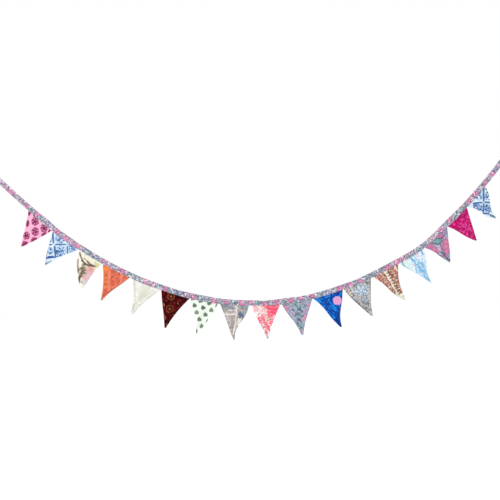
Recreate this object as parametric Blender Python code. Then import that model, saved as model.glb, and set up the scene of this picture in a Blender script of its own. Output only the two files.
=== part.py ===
"""Fabric bunting: a folded floral binding strip hanging in a bow, with seventeen printed pennants in its fold.

Metres, +Z up, front towards -Y. The origin is the middle of the binding's left end, where it is held.
The binding hangs in the XZ plane with slow waves of a few millimetres in Y. Each pennant is a separate
sheet: its raw top edge is tucked up into the binding's fold, and below the fold it tapers to a blunt tip.
"""

import math

import bmesh
import bpy
import numpy as np

# Binding strip
BINDING_HEIGHT = 0.021
BINDING_LEAF = 0.0010
SLOT_DEPTH = 0.0150
SHUT_SLOT_DEPTH = 0.0040
SHUT_SLOT_WIDTH = 0.0005
SHUT_RUN = 0.022
SHUT_MARGIN = 0.006
CROWN_DROP = 0.0022
BINDING_STEP = 0.018

# Pennants
PENNANT_THICKNESS = 0.0016
CLEARANCE = 0.0003
TUCK = 0.0135
TIP_ROUND = 0.0022
GRID_COLUMNS = 6
GRID_ROWS = 12
TIP_CROWDING = 1.12

SLOT_WIDTH = PENNANT_THICKNESS + 2 * CLEARANCE
SPLINE_SAMPLES = 2400

# Centre line of the hanging binding: how far right, how far forward or back, and how high
ROUTE = (
    # x, y, z
    (0.000, 0.000, 0.000),
    (0.104, 0.002, -0.095),
    (0.184, 0.003, -0.166),
    (0.264, 0.001, -0.232),
    (0.344, -0.001, -0.286),
    (0.424, -0.003, -0.334),
    (0.544, -0.003, -0.396),
    (0.664, 0.000, -0.444),
    (0.784, 0.003, -0.480),
    (0.904, 0.004, -0.502),
    (1.024, 0.001, -0.508),
    (1.144, -0.003, -0.504),
    (1.264, -0.004, -0.484),
    (1.384, -0.001, -0.448),
    (1.504, 0.002, -0.399),
    (1.624, 0.003, -0.337),
    (1.704, 0.001, -0.288),
    (1.784, -0.001, -0.220),
    (1.864, -0.003, -0.140),
    (1.942, -0.002, -0.052),
    (2.022, 0.000, 0.046),
    (2.044, 0.000, 0.076),
)

# Where the hand-folded crown is fuller or flatter
CROWN_LUMPS = (
    # place along the binding, reach, rise
    (0.280, 0.035, 0.0032),
    (0.375, 0.050, 0.0016),
    (0.985, 0.075, 0.0024),
    (1.228, 0.018, -0.0028),
    (1.320, 0.030, 0.0030),
    (1.610, 0.050, -0.0022),
    (2.062, 0.065, 0.0032),
)

# One row for each pennant, from left to right.
# start, end: where its top corners lie along the binding. drop: from the binding's lower edge to the tip.
# lean: the tip's place along the binding, from the middle of the top. tip: width of the blunt tip.
# left, left_wave, right, right_wave: how far each side edge bows, and sways, towards the right.
# swing, cup, ripple: how far the cloth stands out of the plane at its tip, at its sides and in waves.
PENNANT_FIELDS = (
    "name", "cloth", "start", "end", "drop", "lean", "tip",
    "left", "left_wave", "right", "right_wave", "swing", "cup", "ripple",
)
PENNANT_TABLE = (
    ("flag_01", "pink_petal_cotton", 0.195, 0.317, 0.129, 0.010, 0.007,
     0.002, 0.000, 0.003, 0.000, 0.004, 0.003, 0.0012),
    ("flag_02", "blue_tile_cotton", 0.323, 0.449, 0.125, -0.010, 0.008,
     -0.004, 0.001, -0.007, 0.000, -0.003, -0.002, 0.0016),
    ("flag_03", "cream_blossom_cotton", 0.455, 0.556, 0.121, 0.027, 0.020,
     -0.013, -0.001, -0.004, -0.001, -0.005, 0.004, 0.0014),
    ("flag_04", "coral_cotton", 0.560, 0.680, 0.131, 0.001, 0.006,
     0.006, 0.000, -0.004, 0.002, 0.003, -0.003, 0.0010),
    ("flag_05", "ivory_leaf_cotton", 0.690, 0.811, 0.132, -0.009, 0.008,
     0.005, 0.004, -0.007, 0.001, 0.005, 0.003, 0.0018),
    ("flag_06", "maroon_ring_cotton", 0.815, 0.932, 0.140, -0.001, 0.007,
     0.000, -0.001, -0.006, 0.000, -0.002, -0.002, 0.0010),
    ("flag_07", "white_heart_cotton", 0.937, 1.046, 0.138, -0.006, 0.008,
     0.005, -0.002, 0.003, 0.001, 0.004, 0.002, 0.0014),
    ("flag_08", "grey_lattice_cotton", 1.055, 1.169, 0.140, 0.004, 0.006,
     0.000, 0.001, -0.004, 0.006, -0.004, 0.004, 0.0018),
    ("flag_09", "coral_rose_cotton", 1.179, 1.292, 0.136, 0.005, 0.008,
     -0.001, 0.000, -0.005, 0.001, 0.003, -0.003, 0.0012),
    ("flag_10", "binding_floral_cotton", 1.299, 1.421, 0.134, -0.001, 0.009,
     0.003, -0.002, -0.004, 0.001, -0.003, 0.002, 0.0014),
    ("flag_11", "royal_paisley_cotton", 1.427, 1.548, 0.140, 0.011, 0.007,
     0.002, 0.003, -0.006, 0.003, 0.002, -0.003, 0.0018),
    ("flag_12", "grey_flower_cotton", 1.553, 1.669, 0.141, 0.006, 0.008,
     -0.004, -0.001, -0.005, 0.001, 0.005, 0.003, 0.0012),
    ("flag_13", "red_ornament_cotton", 1.675, 1.792, 0.138, 0.016, 0.006,
     0.001, 0.005, -0.010, -0.001, -0.004, -0.002, 0.0016),
    ("flag_14", "sky_frond_cotton", 1.796, 1.910, 0.132, 0.012, 0.006,
     0.003, -0.002, -0.005, 0.004, 0.004, 0.004, 0.0020),
    ("flag_15", "binding_floral_cotton", 1.914, 2.034, 0.108, -0.024, 0.006,
     0.004, 0.002, 0.001, -0.001, -0.002, -0.003, 0.0012),
    ("flag_16", "magenta_scroll_cotton", 2.039, 2.146, 0.119, -0.014, 0.007,
     -0.001, 0.002, -0.001, 0.000, 0.003, 0.002, 0.0010),
    ("flag_17", "blue_tile_cotton", 2.150, 2.258, 0.118, -0.015, 0.006,
     -0.001, 0.005, -0.005, 0.006, -0.004, 0.003, 0.0016),
)
PENNANTS = [dict(zip(PENNANT_FIELDS, row)) for row in PENNANT_TABLE]

# Mean colour of each cloth, red green blue
CLOTHS = {
    "binding_floral_cotton": (0.46, 0.48, 0.58),
    "pink_petal_cotton": (0.80, 0.28, 0.45),
    "blue_tile_cotton": (0.42, 0.60, 0.85),
    "cream_blossom_cotton": (0.78, 0.66, 0.52),
    "coral_cotton": (0.86, 0.12, 0.06),
    "ivory_leaf_cotton": (0.84, 0.83, 0.74),
    "maroon_ring_cotton": (0.12, 0.012, 0.014),
    "white_heart_cotton": (0.78, 0.82, 0.78),
    "grey_lattice_cotton": (0.40, 0.36, 0.35),
    "coral_rose_cotton": (0.86, 0.42, 0.42),
    "royal_paisley_cotton": (0.015, 0.11, 0.52),
    "grey_flower_cotton": (0.40, 0.42, 0.47),
    "red_ornament_cotton": (0.70, 0.25, 0.18),
    "sky_frond_cotton": (0.55, 0.74, 0.88),
    "magenta_scroll_cotton": (0.66, 0.02, 0.16),
}
CLOTH_ROUGHNESS = 0.9


def clear_scene():
    """Removes whatever objects the file holds."""
    for old in list(bpy.data.objects):
        bpy.data.objects.remove(old, do_unlink=True)


def smooth_line(points):
    """Natural cubic spline through the points: dense samples along it, and each one's distance along it.

    The distance is measured in the XZ plane, where the binding is straight along its own grain.
    """
    points = np.array(points)
    knots = np.concatenate([[0.0], np.cumsum(np.hypot(*np.diff(points[:, [0, 2]], axis=0).T))])
    steps = np.diff(knots)
    count = len(points)
    system = np.eye(count)
    target = np.zeros_like(points)
    for i in range(1, count - 1):
        system[i, i - 1:i + 2] = steps[i - 1], 2 * (steps[i - 1] + steps[i]), steps[i]
        rise = (points[i + 1] - points[i]) / steps[i]
        target[i] = 6 * (rise - (points[i] - points[i - 1]) / steps[i - 1])
    bend = np.linalg.solve(system, target)

    spots = np.linspace(0.0, knots[-1], SPLINE_SAMPLES)
    span = np.clip(np.searchsorted(knots, spots, side="right") - 1, 0, count - 2)
    step = steps[span][:, None]
    ahead = (spots - knots[span])[:, None]
    slope = (points[span + 1] - points[span]) / step - step * (2 * bend[span] + bend[span + 1]) / 6
    line = points[span] + ahead * slope + ahead ** 2 * bend[span] / 2
    line += ahead ** 3 * (bend[span + 1] - bend[span]) / (6 * step)
    along = np.concatenate([[0.0], np.cumsum(np.hypot(*np.diff(line[:, [0, 2]], axis=0).T))])
    return line, along


LINE, ALONG = smooth_line(ROUTE)
LENGTH = ALONG[-1]


def binding_frame(distance):
    """Centre, direction along the binding, and direction across it and up, at the given distances."""
    distance = np.asarray(distance, float)
    centre = np.stack([np.interp(distance, ALONG, LINE[:, axis]) for axis in range(3)], axis=-1)
    slopes = np.gradient(LINE, ALONG, axis=0)
    along = np.stack([np.interp(distance, ALONG, slopes[:, axis]) for axis in (0, 2)], axis=-1)
    along /= np.linalg.norm(along, axis=-1, keepdims=True)
    still = np.zeros_like(distance)
    forward = np.stack([along[..., 0], still, along[..., 1]], axis=-1)
    up = np.stack([-along[..., 1], still, along[..., 0]], axis=-1)
    return centre, forward, up


def smooth_step(value):
    """0 to 1 with flat ends."""
    value = np.clip(value, 0.0, 1.0)
    return value * value * (3 - 2 * value)


def make_material(name):
    """Plain Principled material in the cloth's mean colour."""
    material = bpy.data.materials.get(name)
    if material is None:
        material = bpy.data.materials.new(name)
        material.use_nodes = True
        shader = material.node_tree.nodes["Principled BSDF"]
        shader.inputs["Base Color"].default_value = (*CLOTHS[name], 1.0)
        shader.inputs["Roughness"].default_value = CLOTH_ROUGHNESS
        shader.inputs["Metallic"].default_value = 0.0
    return material


def add_object(name, mesh, cloth):
    """Links a mesh as a named object in its cloth."""
    mesh.materials.append(make_material(cloth))
    piece = bpy.data.objects.new(name, mesh)
    bpy.context.scene.collection.objects.link(piece)
    return piece


def crown_rise(distance):
    """How far the crown stands above its even height, as a sum of soft bells."""
    return sum(rise * np.exp(-((distance - middle) / reach) ** 2) for middle, reach, rise in CROWN_LUMPS)


def binding_profile(openness, rise):
    """Section of the folded strip, in Y and up: an upturned U whose slot takes the pennants.

    Openness 1 is the open fold, and 0 is the stretch past the pennants, where it is sewn shut.
    Rise is how far the crown stands above its even height there.
    """
    slot = SHUT_SLOT_WIDTH + (SLOT_WIDTH - SHUT_SLOT_WIDTH) * openness
    depth = SHUT_SLOT_DEPTH + (SLOT_DEPTH - SHUT_SLOT_DEPTH) * openness
    half = slot / 2 + BINDING_LEAF
    hem = -BINDING_HEIGHT / 2
    crown = BINDING_HEIGHT / 2 + rise
    return (
        (-half, hem),
        (-half, crown - CROWN_DROP),
        (-half * 0.62, crown - CROWN_DROP * 0.28),
        (0.0, crown),
        (half * 0.62, crown - CROWN_DROP * 0.28),
        (half, crown - CROWN_DROP),
        (half, hem),
        (slot / 2, hem),
        (slot / 2, depth + hem),
        (-slot / 2, depth + hem),
        (-slot / 2, hem),
    )


def make_binding():
    """Bridges the folded section from ring to ring along the whole bow, and closes both cut ends."""
    stations = np.linspace(0.0, LENGTH, math.ceil(LENGTH / BINDING_STEP) + 1)
    first = PENNANTS[0]["start"] - SHUT_MARGIN
    last = PENNANTS[-1]["end"] + SHUT_MARGIN
    opening = smooth_step((stations - first + SHUT_RUN) / SHUT_RUN)
    opening *= smooth_step((last + SHUT_RUN - stations) / SHUT_RUN)
    centre, _, up = binding_frame(stations)

    shape = bmesh.new()
    rings = []
    for place, above, openness, rise in zip(centre, up, opening, crown_rise(stations)):
        ring = []
        for out, height in binding_profile(openness, rise):
            ring.append(shape.verts.new(place + above * height + np.array([0.0, out, 0.0])))
        rings.append(ring)
    for here, there in zip(rings, rings[1:]):
        for i in range(len(here)):
            j = (i + 1) % len(here)
            shape.faces.new((here[i], here[j], there[j], there[i]))
    shape.faces.new(rings[0][::-1])
    shape.faces.new(rings[-1])
    bmesh.ops.recalc_face_normals(shape, faces=shape.faces)
    mesh = bpy.data.meshes.new("binding")
    shape.to_mesh(mesh)
    shape.free()
    return add_object("binding", mesh, "binding_floral_cotton")


def pennant_sheet(row):
    """Middle surface of one pennant, as rows of points from its tucked edge down to its tip.

    Below the fold each point runs straight from its place on the binding to its place on the blunt tip.
    The side edges then bow, the cloth swings and cups out of the plane, and the fold holds it still.
    """
    across = np.linspace(0.0, 1.0, GRID_COLUMNS + 1)
    centre, forward, up = binding_frame(row["start"] + across * (row["end"] - row["start"]))
    middle, chord, rise = binding_frame((row["start"] + row["end"]) / 2)
    hem = centre - up * BINDING_HEIGHT / 2
    tip = middle - rise * (BINDING_HEIGHT / 2 + row["drop"]) + chord * row["lean"]
    ends = tip + np.outer((across - 0.5) * row["tip"], chord)
    ends += np.outer(TIP_ROUND * (2 * across - 1) ** 2, rise)
    ends[:, 1] = hem[:, 1]

    sheet = [hem + up * TUCK, hem]
    for down in np.linspace(0.0, 1.0, GRID_ROWS + 1)[1:]:
        down = 1 - (1 - down) ** TIP_CROWDING
        left = row["left"] * math.sin(math.pi * down) + row["left_wave"] * math.sin(2 * math.pi * down)
        right = row["right"] * math.sin(math.pi * down) + row["right_wave"] * math.sin(2 * math.pi * down)
        line = hem + (ends - hem) * down
        line += np.outer(left * (1 - across) + right * across, chord)
        out = row["swing"] * down ** 2
        out += row["cup"] * (2 * across - 1) ** 2 * down ** 2 * (1 - 0.4 * down) * 2
        out += row["ripple"] * np.sin(2 * math.pi * (across * 1.25 + down * 0.8)) * smooth_step(down * 3)
        line[:, 1] += out
        sheet.append(line)
    return np.array(sheet)


def make_pennant(row):
    """One pennant: the middle surface as a grid, thickened evenly to both sides."""
    points = pennant_sheet(row)
    rows, columns = points.shape[:2]
    faces = []
    for i in range(rows - 1):
        for j in range(columns - 1):
            corner = i * columns + j
            faces.append((corner, corner + columns, corner + columns + 1, corner + 1))
    mesh = bpy.data.meshes.new(row["name"])
    mesh.from_pydata(points.reshape(-1, 3).tolist(), [], faces)
    mesh.shade_smooth()
    piece = add_object(row["name"], mesh, row["cloth"])
    thicken = piece.modifiers.new("cloth thickness", "SOLIDIFY")
    thicken.thickness = PENNANT_THICKNESS
    thicken.offset = 0.0
    thicken.use_even_offset = True
    return piece


def main():
    clear_scene()
    make_binding()
    for row in PENNANTS:
        make_pennant(row)


main()
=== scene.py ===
"""Fabric bunting: seventeen printed cotton pennants stitched into a folded floral binding strip."""
import math
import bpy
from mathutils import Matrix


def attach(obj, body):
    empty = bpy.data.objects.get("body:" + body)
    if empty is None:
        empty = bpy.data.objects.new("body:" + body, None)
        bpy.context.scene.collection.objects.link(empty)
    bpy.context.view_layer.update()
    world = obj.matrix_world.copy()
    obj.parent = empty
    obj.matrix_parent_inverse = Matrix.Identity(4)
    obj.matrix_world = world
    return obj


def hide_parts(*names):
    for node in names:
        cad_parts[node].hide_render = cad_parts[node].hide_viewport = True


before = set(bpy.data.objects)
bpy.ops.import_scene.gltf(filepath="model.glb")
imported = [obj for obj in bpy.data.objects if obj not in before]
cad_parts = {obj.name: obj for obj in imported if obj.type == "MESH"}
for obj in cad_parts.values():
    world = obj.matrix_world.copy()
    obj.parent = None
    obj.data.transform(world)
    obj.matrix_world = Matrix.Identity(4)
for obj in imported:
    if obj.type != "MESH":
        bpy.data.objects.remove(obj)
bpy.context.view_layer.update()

from types import SimpleNamespace

import bpy
import numpy as np
from bpy.props import FloatProperty, FloatVectorProperty, IntProperty, PointerProperty

bl_info = {
    "name": "Fabric bunting",
    "version": (1, 0, 0),
    "blender": (4, 5, 0),
    "location": "3D View > Sidebar > Bunting",
    "description": "Sews a string of printed cotton pennants into a folded floral binding",
    "category": "Add Mesh",
}

# Sizes that the cloth shares with the solids, in metres
BINDING_HEIGHT = 0.021
TUCK = 0.0125
TIP_ROUND = 0.0022
SHUT_RUN = 0.022
SHUT_MARGIN = 0.006

# Sizes of the cloth and the thread, in metres
SEAM_EASE = 0.004
ALLOWANCE_FADE = 0.0016
DRAG_REACH = (0.0065, 0.0075)
PUCKER_PITCH = (0.0115, 0.0128)
PUCKER_REACH = 0.006
STRIP_WALL = 0.00042
LEAF_SHUT = 0.00102
LEAF_OPENING = 0.00078
LINING_GAP = 0.00055
RAW_EDGE_DROP = 0.0007
HEM_LIFT = 0.0005
SHOULDER_DROP = 0.0023
CROWN_INSET = 0.00022
STITCH_BELL = 0.0014
STITCH_MARGIN = 0.012
THREAD_LIFT = 0.00022
THREAD_ARCH = 0.00016

# Counts of samples, rows, stations and sides, and the seeds of the two random draws
SPLINE_SAMPLES = 2400
TUCK_ROWS = 5
STITCH_STATIONS = 5
STITCH_SIDES = 6
FOLD_SEED = 310
STITCH_SEED = 77

# The hung line of the binding: right, back and up, in millimetres
ROUTE = (
    (0, 0, 0), (104, 2, -95), (184, 3, -166), (264, 1, -232), (344, -1, -286), (424, -3, -334),
    (544, -3, -396), (664, 0, -444), (784, 3, -480), (904, 4, -502), (1024, 1, -508), (1144, -3, -504),
    (1264, -4, -484), (1384, -1, -448), (1504, 2, -399), (1624, 3, -337), (1704, 1, -288), (1784, -1, -220),
    (1864, -3, -140), (1942, -2, -52), (2022, 0, 46), (2044, 0, 76),
)
# Where the hand-folded crown is fuller or flatter: the place along the binding, reach and rise, in metres
CROWN_LUMPS = (
    (0.28, 0.035, 0.0032), (0.375, 0.05, 0.0016), (0.985, 0.075, 0.0024), (1.228, 0.018, -0.0028),
    (1.32, 0.03, 0.003), (1.61, 0.05, -0.0022), (2.062, 0.065, 0.0032),
)
# Each pennant's cloth, where it starts and ends along the binding, its drop, the lean and width of its tip,
# the bow and wave of its left and right sides, and its swing, cup and ripple out of the plane, in millimetres
PENNANT_FIELDS = (
    "start", "end", "drop", "lean", "tip", "left", "left_wave", "right", "right_wave", "swing", "cup",
    "ripple",
)
PENNANT_TABLE = (
    ("pink_petal", 195, 317, 129, 10, 7, 2, 0, 3, 0, 4, 3, 1.2),
    ("blue_tile", 323, 449, 125, -10, 8, -4, 1, -7, 0, -3, -2, 1.6),
    ("cream_blossom", 455, 556, 121, 27, 20, -13, -1, -4, -1, -5, 4, 1.4),
    ("coral", 560, 680, 131, 1, 6, 6, 0, -4, 2, 3, -3, 1),
    ("ivory_leaf", 690, 811, 132, -9, 8, 5, 4, -7, 1, 5, 3, 1.8),
    ("maroon_ring", 815, 932, 140, -1, 7, 0, -1, -6, 0, -2, -2, 1),
    ("white_heart", 937, 1046, 138, -6, 8, 5, -2, 3, 1, 4, 2, 1.4),
    ("grey_lattice", 1055, 1169, 140, 4, 6, 0, 1, -4, 6, -4, 4, 1.8),
    ("coral_rose", 1179, 1292, 136, 5, 8, -1, 0, -5, 1, 3, -3, 1.2),
    ("binding_floral", 1299, 1421, 134, -1, 9, 3, -2, -4, 1, -3, 2, 1.4),
    ("royal_paisley", 1427, 1548, 140, 11, 7, 2, 3, -6, 3, 2, -3, 1.8),
    ("grey_flower", 1553, 1669, 141, 6, 8, -4, -1, -5, 1, 5, 3, 1.2),
    ("red_ornament", 1675, 1792, 138, 16, 6, 1, 5, -10, -1, -4, -2, 1.6),
    ("sky_frond", 1796, 1910, 132, 12, 6, 3, -2, -5, 4, 4, 4, 2),
    ("binding_floral", 1914, 2034, 108, -24, 6, 4, 2, 1, -1, -2, -3, 1.2),
    ("magenta_scroll", 2039, 2146, 119, -14, 7, -1, 2, -1, 0, 3, 2, 1),
    ("blue_tile", 2150, 2258, 118, -15, 6, -1, 5, -5, 6, -4, 3, 1.6),
)
PENNANTS = [
    {"cloth": cloth, **{field: size / 1000 for field, size in zip(PENNANT_FIELDS, row)}}
    for cloth, *row in PENNANT_TABLE
]

# The prints are charted in steps of 4 mm over the hung row: x to the right, y down
CHART_STEP = 0.004
CHART_LEFT = 6.0
CHART_TOP = 175.9


def smooth_line(points):
    """Natural cubic spline through the points: dense samples along it, and each one's distance along it."""
    points = np.array(points) / 1000
    knots = np.concatenate([[0.0], np.cumsum(np.hypot(*np.diff(points[:, [0, 2]], axis=0).T))])
    steps = np.diff(knots)
    count = len(points)
    system = np.eye(count)
    target = np.zeros_like(points)
    for i in range(1, count - 1):
        system[i, i - 1:i + 2] = steps[i - 1], 2 * (steps[i - 1] + steps[i]), steps[i]
        rise = (points[i + 1] - points[i]) / steps[i]
        target[i] = 6 * (rise - (points[i] - points[i - 1]) / steps[i - 1])
    bend = np.linalg.solve(system, target)

    spots = np.linspace(0.0, knots[-1], SPLINE_SAMPLES)
    span = np.clip(np.searchsorted(knots, spots, side="right") - 1, 0, count - 2)
    step = steps[span][:, None]
    ahead = (spots - knots[span])[:, None]
    slope = (points[span + 1] - points[span]) / step - step * (2 * bend[span] + bend[span + 1]) / 6
    line = points[span] + ahead * slope + ahead ** 2 * bend[span] / 2
    line += ahead ** 3 * (bend[span + 1] - bend[span]) / (6 * step)
    along = np.concatenate([[0.0], np.cumsum(np.hypot(*np.diff(line[:, [0, 2]], axis=0).T))])
    return line, along


LINE, ALONG = smooth_line(ROUTE)
LENGTH = float(ALONG[-1])


def binding_frame(distance):
    """Centre, direction along the binding, and direction across it and up, at the given distances."""
    distance = np.asarray(distance, float)
    centre = np.stack([np.interp(distance, ALONG, LINE[:, axis]) for axis in range(3)], axis=-1)
    slopes = np.gradient(LINE, ALONG, axis=0)
    along = np.stack([np.interp(distance, ALONG, slopes[:, axis]) for axis in (0, 2)], axis=-1)
    along /= np.linalg.norm(along, axis=-1, keepdims=True)
    still = np.zeros_like(distance)
    forward = np.stack([along[..., 0], still, along[..., 1]], axis=-1)
    up = np.stack([-along[..., 1], still, along[..., 0]], axis=-1)
    return centre, forward, up


def smooth_step(value):
    """0 to 1 with flat ends."""
    value = np.clip(value, 0.0, 1.0)
    return value * value * (3 - 2 * value)


def openness(distance):
    """1 where the binding holds pennants, falling to 0 past the first and the last of them."""
    first = PENNANTS[0]["start"] - SHUT_MARGIN
    last = PENNANTS[-1]["end"] + SHUT_MARGIN
    opening = smooth_step((distance - first + SHUT_RUN) / SHUT_RUN)
    return opening * smooth_step((last + SHUT_RUN - distance) / SHUT_RUN)


def grid_quads(index):
    """Quads over a grid of vertex numbers, whose rows run down and columns run to the right."""
    corners = (index[..., :-1, :-1], index[..., 1:, :-1], index[..., 1:, 1:], index[..., :-1, 1:])
    return np.stack(corners, axis=-1).reshape(-1, 4)


def add_piece(name, points, faces, plane, cloth, **fields):
    """Makes a smooth mesh object from whole arrays, with its UV map in metres and its named fields."""
    mesh = bpy.data.meshes.new(name)
    mesh.from_pydata(points.tolist(), [], faces)
    mesh.validate()
    corner = np.empty(len(mesh.loops), np.int32)
    mesh.loops.foreach_get("vertex_index", corner)
    mesh.uv_layers.new(name="cloth").data.foreach_set("uv", plane[corner].astype(np.float32).ravel())
    for label, values in fields.items():
        field = mesh.attributes.new(label, "FLOAT_VECTOR", "POINT")
        field.data.foreach_set("vector", values.astype(np.float32).ravel())
    mesh.polygons.foreach_set("use_smooth", np.ones(len(mesh.polygons), bool))
    mesh.update()
    piece = bpy.data.objects.new(name, mesh)
    bpy.context.scene.collection.objects.link(piece)
    if cloth is not None:
        mesh.materials.append(bpy.data.materials[cloth])
    return piece


def surface_area(piece):
    """Area of a mesh in square metres."""
    return float(sum(face.area for face in piece.data.polygons))


def pennant_folds(number, across, down, width, drop, depth):
    """Depth of the soft folds of one pennant, over its grid, in metres.

    Two drag folds run from the top corners towards the tip, each a bell across its own slanted line. A bow
    runs across the middle, as a sine of the slant. Close to both seams the cloth puckers, as a sine down
    the seam that dies away within a centimetre of it.
    """
    rng = np.random.default_rng(FOLD_SEED + number)
    turn = rng.uniform(0.0, 2 * math.pi, 6)
    strength = depth * rng.uniform(0.5, 1.0, 4)
    signs = rng.choice((-1.0, 1.0), 3)
    body = smooth_step(down * 4) * (1 - 0.55 * down)
    first = across - (0.14 + 0.10 * rng.uniform() + 0.30 * down)
    second = across - (0.84 - 0.10 * rng.uniform() - 0.32 * down)
    folds = signs[0] * strength[0] * np.exp(-(first * width / DRAG_REACH[0]) ** 2)
    folds += signs[1] * strength[1] * np.exp(-(second * width / DRAG_REACH[1]) ** 2)
    folds += 0.5 * strength[2] * np.sin(2 * math.pi * (across * 0.9 - down * 1.3) + turn[0])
    folds += 0.3 * strength[3] * np.sin(2 * math.pi * (across * 2.1 + down * 0.9) + turn[1])
    folds *= body
    pucker = 0.0
    for inside, pitch, phase in zip((across, 1 - across), PUCKER_PITCH, turn[2:4]):
        near = np.exp(-(inside * width / PUCKER_REACH) ** 2)
        pucker = pucker + near * np.sin(2 * math.pi * down * drop / pitch + phase)
    pucker = 0.26 * depth * pucker * smooth_step(down * 6) * smooth_step((1 - down) * 9)
    return folds + pucker


def pennant_surfaces(number, row, sizes):
    """Front and back face points of a pennant, its seam distances, and the grid of its vertex numbers.

    The middle surface runs from the tucked edge through the hem line to the tip: hem + (tip - hem) * down,
    with each side bowed by a half sine and a full sine of down. It swings, cups and ripples out of its
    plane as in the solid. Both faces stand off it by a thickness that is 0 on the sewn sides and the tip,
    rises over the rolled edge as a quarter circle, is thickest over the seam allowance and thinner within.
    """
    columns, rows = sizes.pennant_columns, sizes.pennant_rows
    spread = np.linspace(0.0, 1.0, columns + 1)
    across = 0.55 * spread + 0.45 * (0.5 - 0.5 * np.cos(math.pi * spread))
    centre, forward, up = binding_frame(row["start"] + across * (row["end"] - row["start"]))
    middle, chord, rise = binding_frame((row["start"] + row["end"]) / 2)
    hem = centre - up * BINDING_HEIGHT / 2
    tip = middle - rise * (BINDING_HEIGHT / 2 + row["drop"]) + chord * row["lean"]
    ends = tip + np.outer((across - 0.5) * row["tip"], chord)
    ends += np.outer(TIP_ROUND * (2 * across - 1) ** 2, rise)
    ends[:, 1] = hem[:, 1]

    tucked = np.linspace(1.0, 0.0, TUCK_ROWS, endpoint=False)
    fall = np.linspace(0.0, 1.0, rows + 1)
    fall = 0.7 * fall + 0.3 * np.sin(fall * math.pi / 2)
    down = np.concatenate([np.zeros(TUCK_ROWS), fall])
    lift = np.concatenate([tucked * TUCK, np.zeros(rows + 1)])

    down_grid = down[:, None]
    sheet = hem[None] + (ends - hem)[None] * down[:, None, None]
    sheet = sheet + up[None] * lift[:, None, None]
    left = row["left"] * np.sin(math.pi * down) + row["left_wave"] * np.sin(2 * math.pi * down)
    right = row["right"] * np.sin(math.pi * down) + row["right_wave"] * np.sin(2 * math.pi * down)
    bow = left[:, None] * (1 - across) + right[:, None] * across
    sheet = sheet + bow[..., None] * chord

    width = np.linalg.norm(sheet[:, -1] - sheet[:, 0], axis=-1)[:, None]
    from_left = across[None] * width
    from_right = (1 - across)[None] * width
    from_tip = np.tile((1 - down_grid) * row["drop"], len(across))
    sheet[..., 1] += row["swing"] * down_grid ** 2
    sheet[..., 1] += row["cup"] * (2 * across - 1) ** 2 * down_grid ** 2 * (1 - 0.4 * down_grid) * 2
    wave = np.sin(2 * math.pi * (across * 1.25 + down_grid * 0.8))
    sheet[..., 1] += row["ripple"] * wave * smooth_step(down_grid * 3)
    sheet[..., 1] += pennant_folds(number, across[None], down_grid, width, row["drop"], sizes.fold_depth)

    inside = np.minimum(np.minimum(from_left, from_right), from_tip)
    rolled = np.sqrt(np.clip(1 - (1 - np.clip(inside / sizes.rolled_edge, 0, 1)) ** 2, 0, 1))
    allowance = 1 - smooth_step((inside - sizes.seam_allowance) / ALLOWANCE_FADE)
    half = rolled * (sizes.cloth_half + sizes.allowance_half * allowance)
    half = half * (0.72 + 0.28 * smooth_step((down_grid - 0.01) * 7))

    front = sheet.copy()
    back = sheet.copy()
    front[..., 1] -= half
    back[..., 1] += half
    seam = np.stack([from_left, from_right, from_tip], axis=-1)

    count = front.shape[0] * front.shape[1]
    front_index = np.arange(count).reshape(front.shape[:2])
    inner = np.zeros(front.shape[:2], bool)
    inner[:-1, 1:-1] = True
    back_index = front_index.copy()
    back_index[inner] = count + np.arange(inner.sum())
    points = np.concatenate([front.reshape(-1, 3), back[inner]])
    seams = np.concatenate([seam.reshape(-1, 3), seam[inner]])
    return points, seams, front_index, back_index


def sew_pennant(number, row, sizes):
    """One pennant: both faces, joined along the sewn sides and the tip and closed across its tucked edge."""
    points, seams, front, back = pennant_surfaces(number, row, sizes)
    faces = grid_quads(front).tolist() + grid_quads(back)[:, ::-1].tolist()
    top = np.stack([front[0, 1:-2], front[0, 2:-1], back[0, 2:-1], back[0, 1:-2]], axis=-1)
    faces += top.tolist()
    faces += [[int(front[0, 0]), int(front[0, 1]), int(back[0, 1])]]
    faces += [[int(front[0, -2]), int(front[0, -1]), int(back[0, -2])]]
    plane = points[:, [0, 2]]
    cloth = row["cloth"] + "_cotton"
    piece = add_piece(f"pennant_{number + 1:02d}", points, faces, plane, cloth, seam=seams)
    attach(piece, "root")
    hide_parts(f"flag_{number + 1:02d}")
    wide = row["end"] - row["start"] + SEAM_EASE
    deep = row["drop"] + TUCK + SEAM_EASE
    area = min(surface_area(piece) / 2, wide * deep)
    return piece


def leaf_depth(distance):
    """How far the outer leaves of the binding lie from its middle, wider where it holds pennants."""
    return LEAF_SHUT + LEAF_OPENING * openness(distance)


def wander(distance):
    """How far the hand-folded lower edge strays up and down along the binding."""
    return 0.00025 * np.sin(distance / 0.031 + 0.8 * np.sin(distance / 0.113))


def crown_rise(distance):
    """How far the crown stands above its even height, as a sum of soft bells."""
    return sum(rise * np.exp(-((distance - middle) / reach) ** 2) for middle, reach, rise in CROWN_LUMPS)


def stitch_pull(distance):
    """How far the stitching draws the leaves in."""
    catch = 0.6 + 0.4 * np.sin(2 * math.pi * distance / 0.0172 + 1.7 * np.sin(distance / 0.05))
    return 0.00030 * catch * openness(distance)


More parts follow.
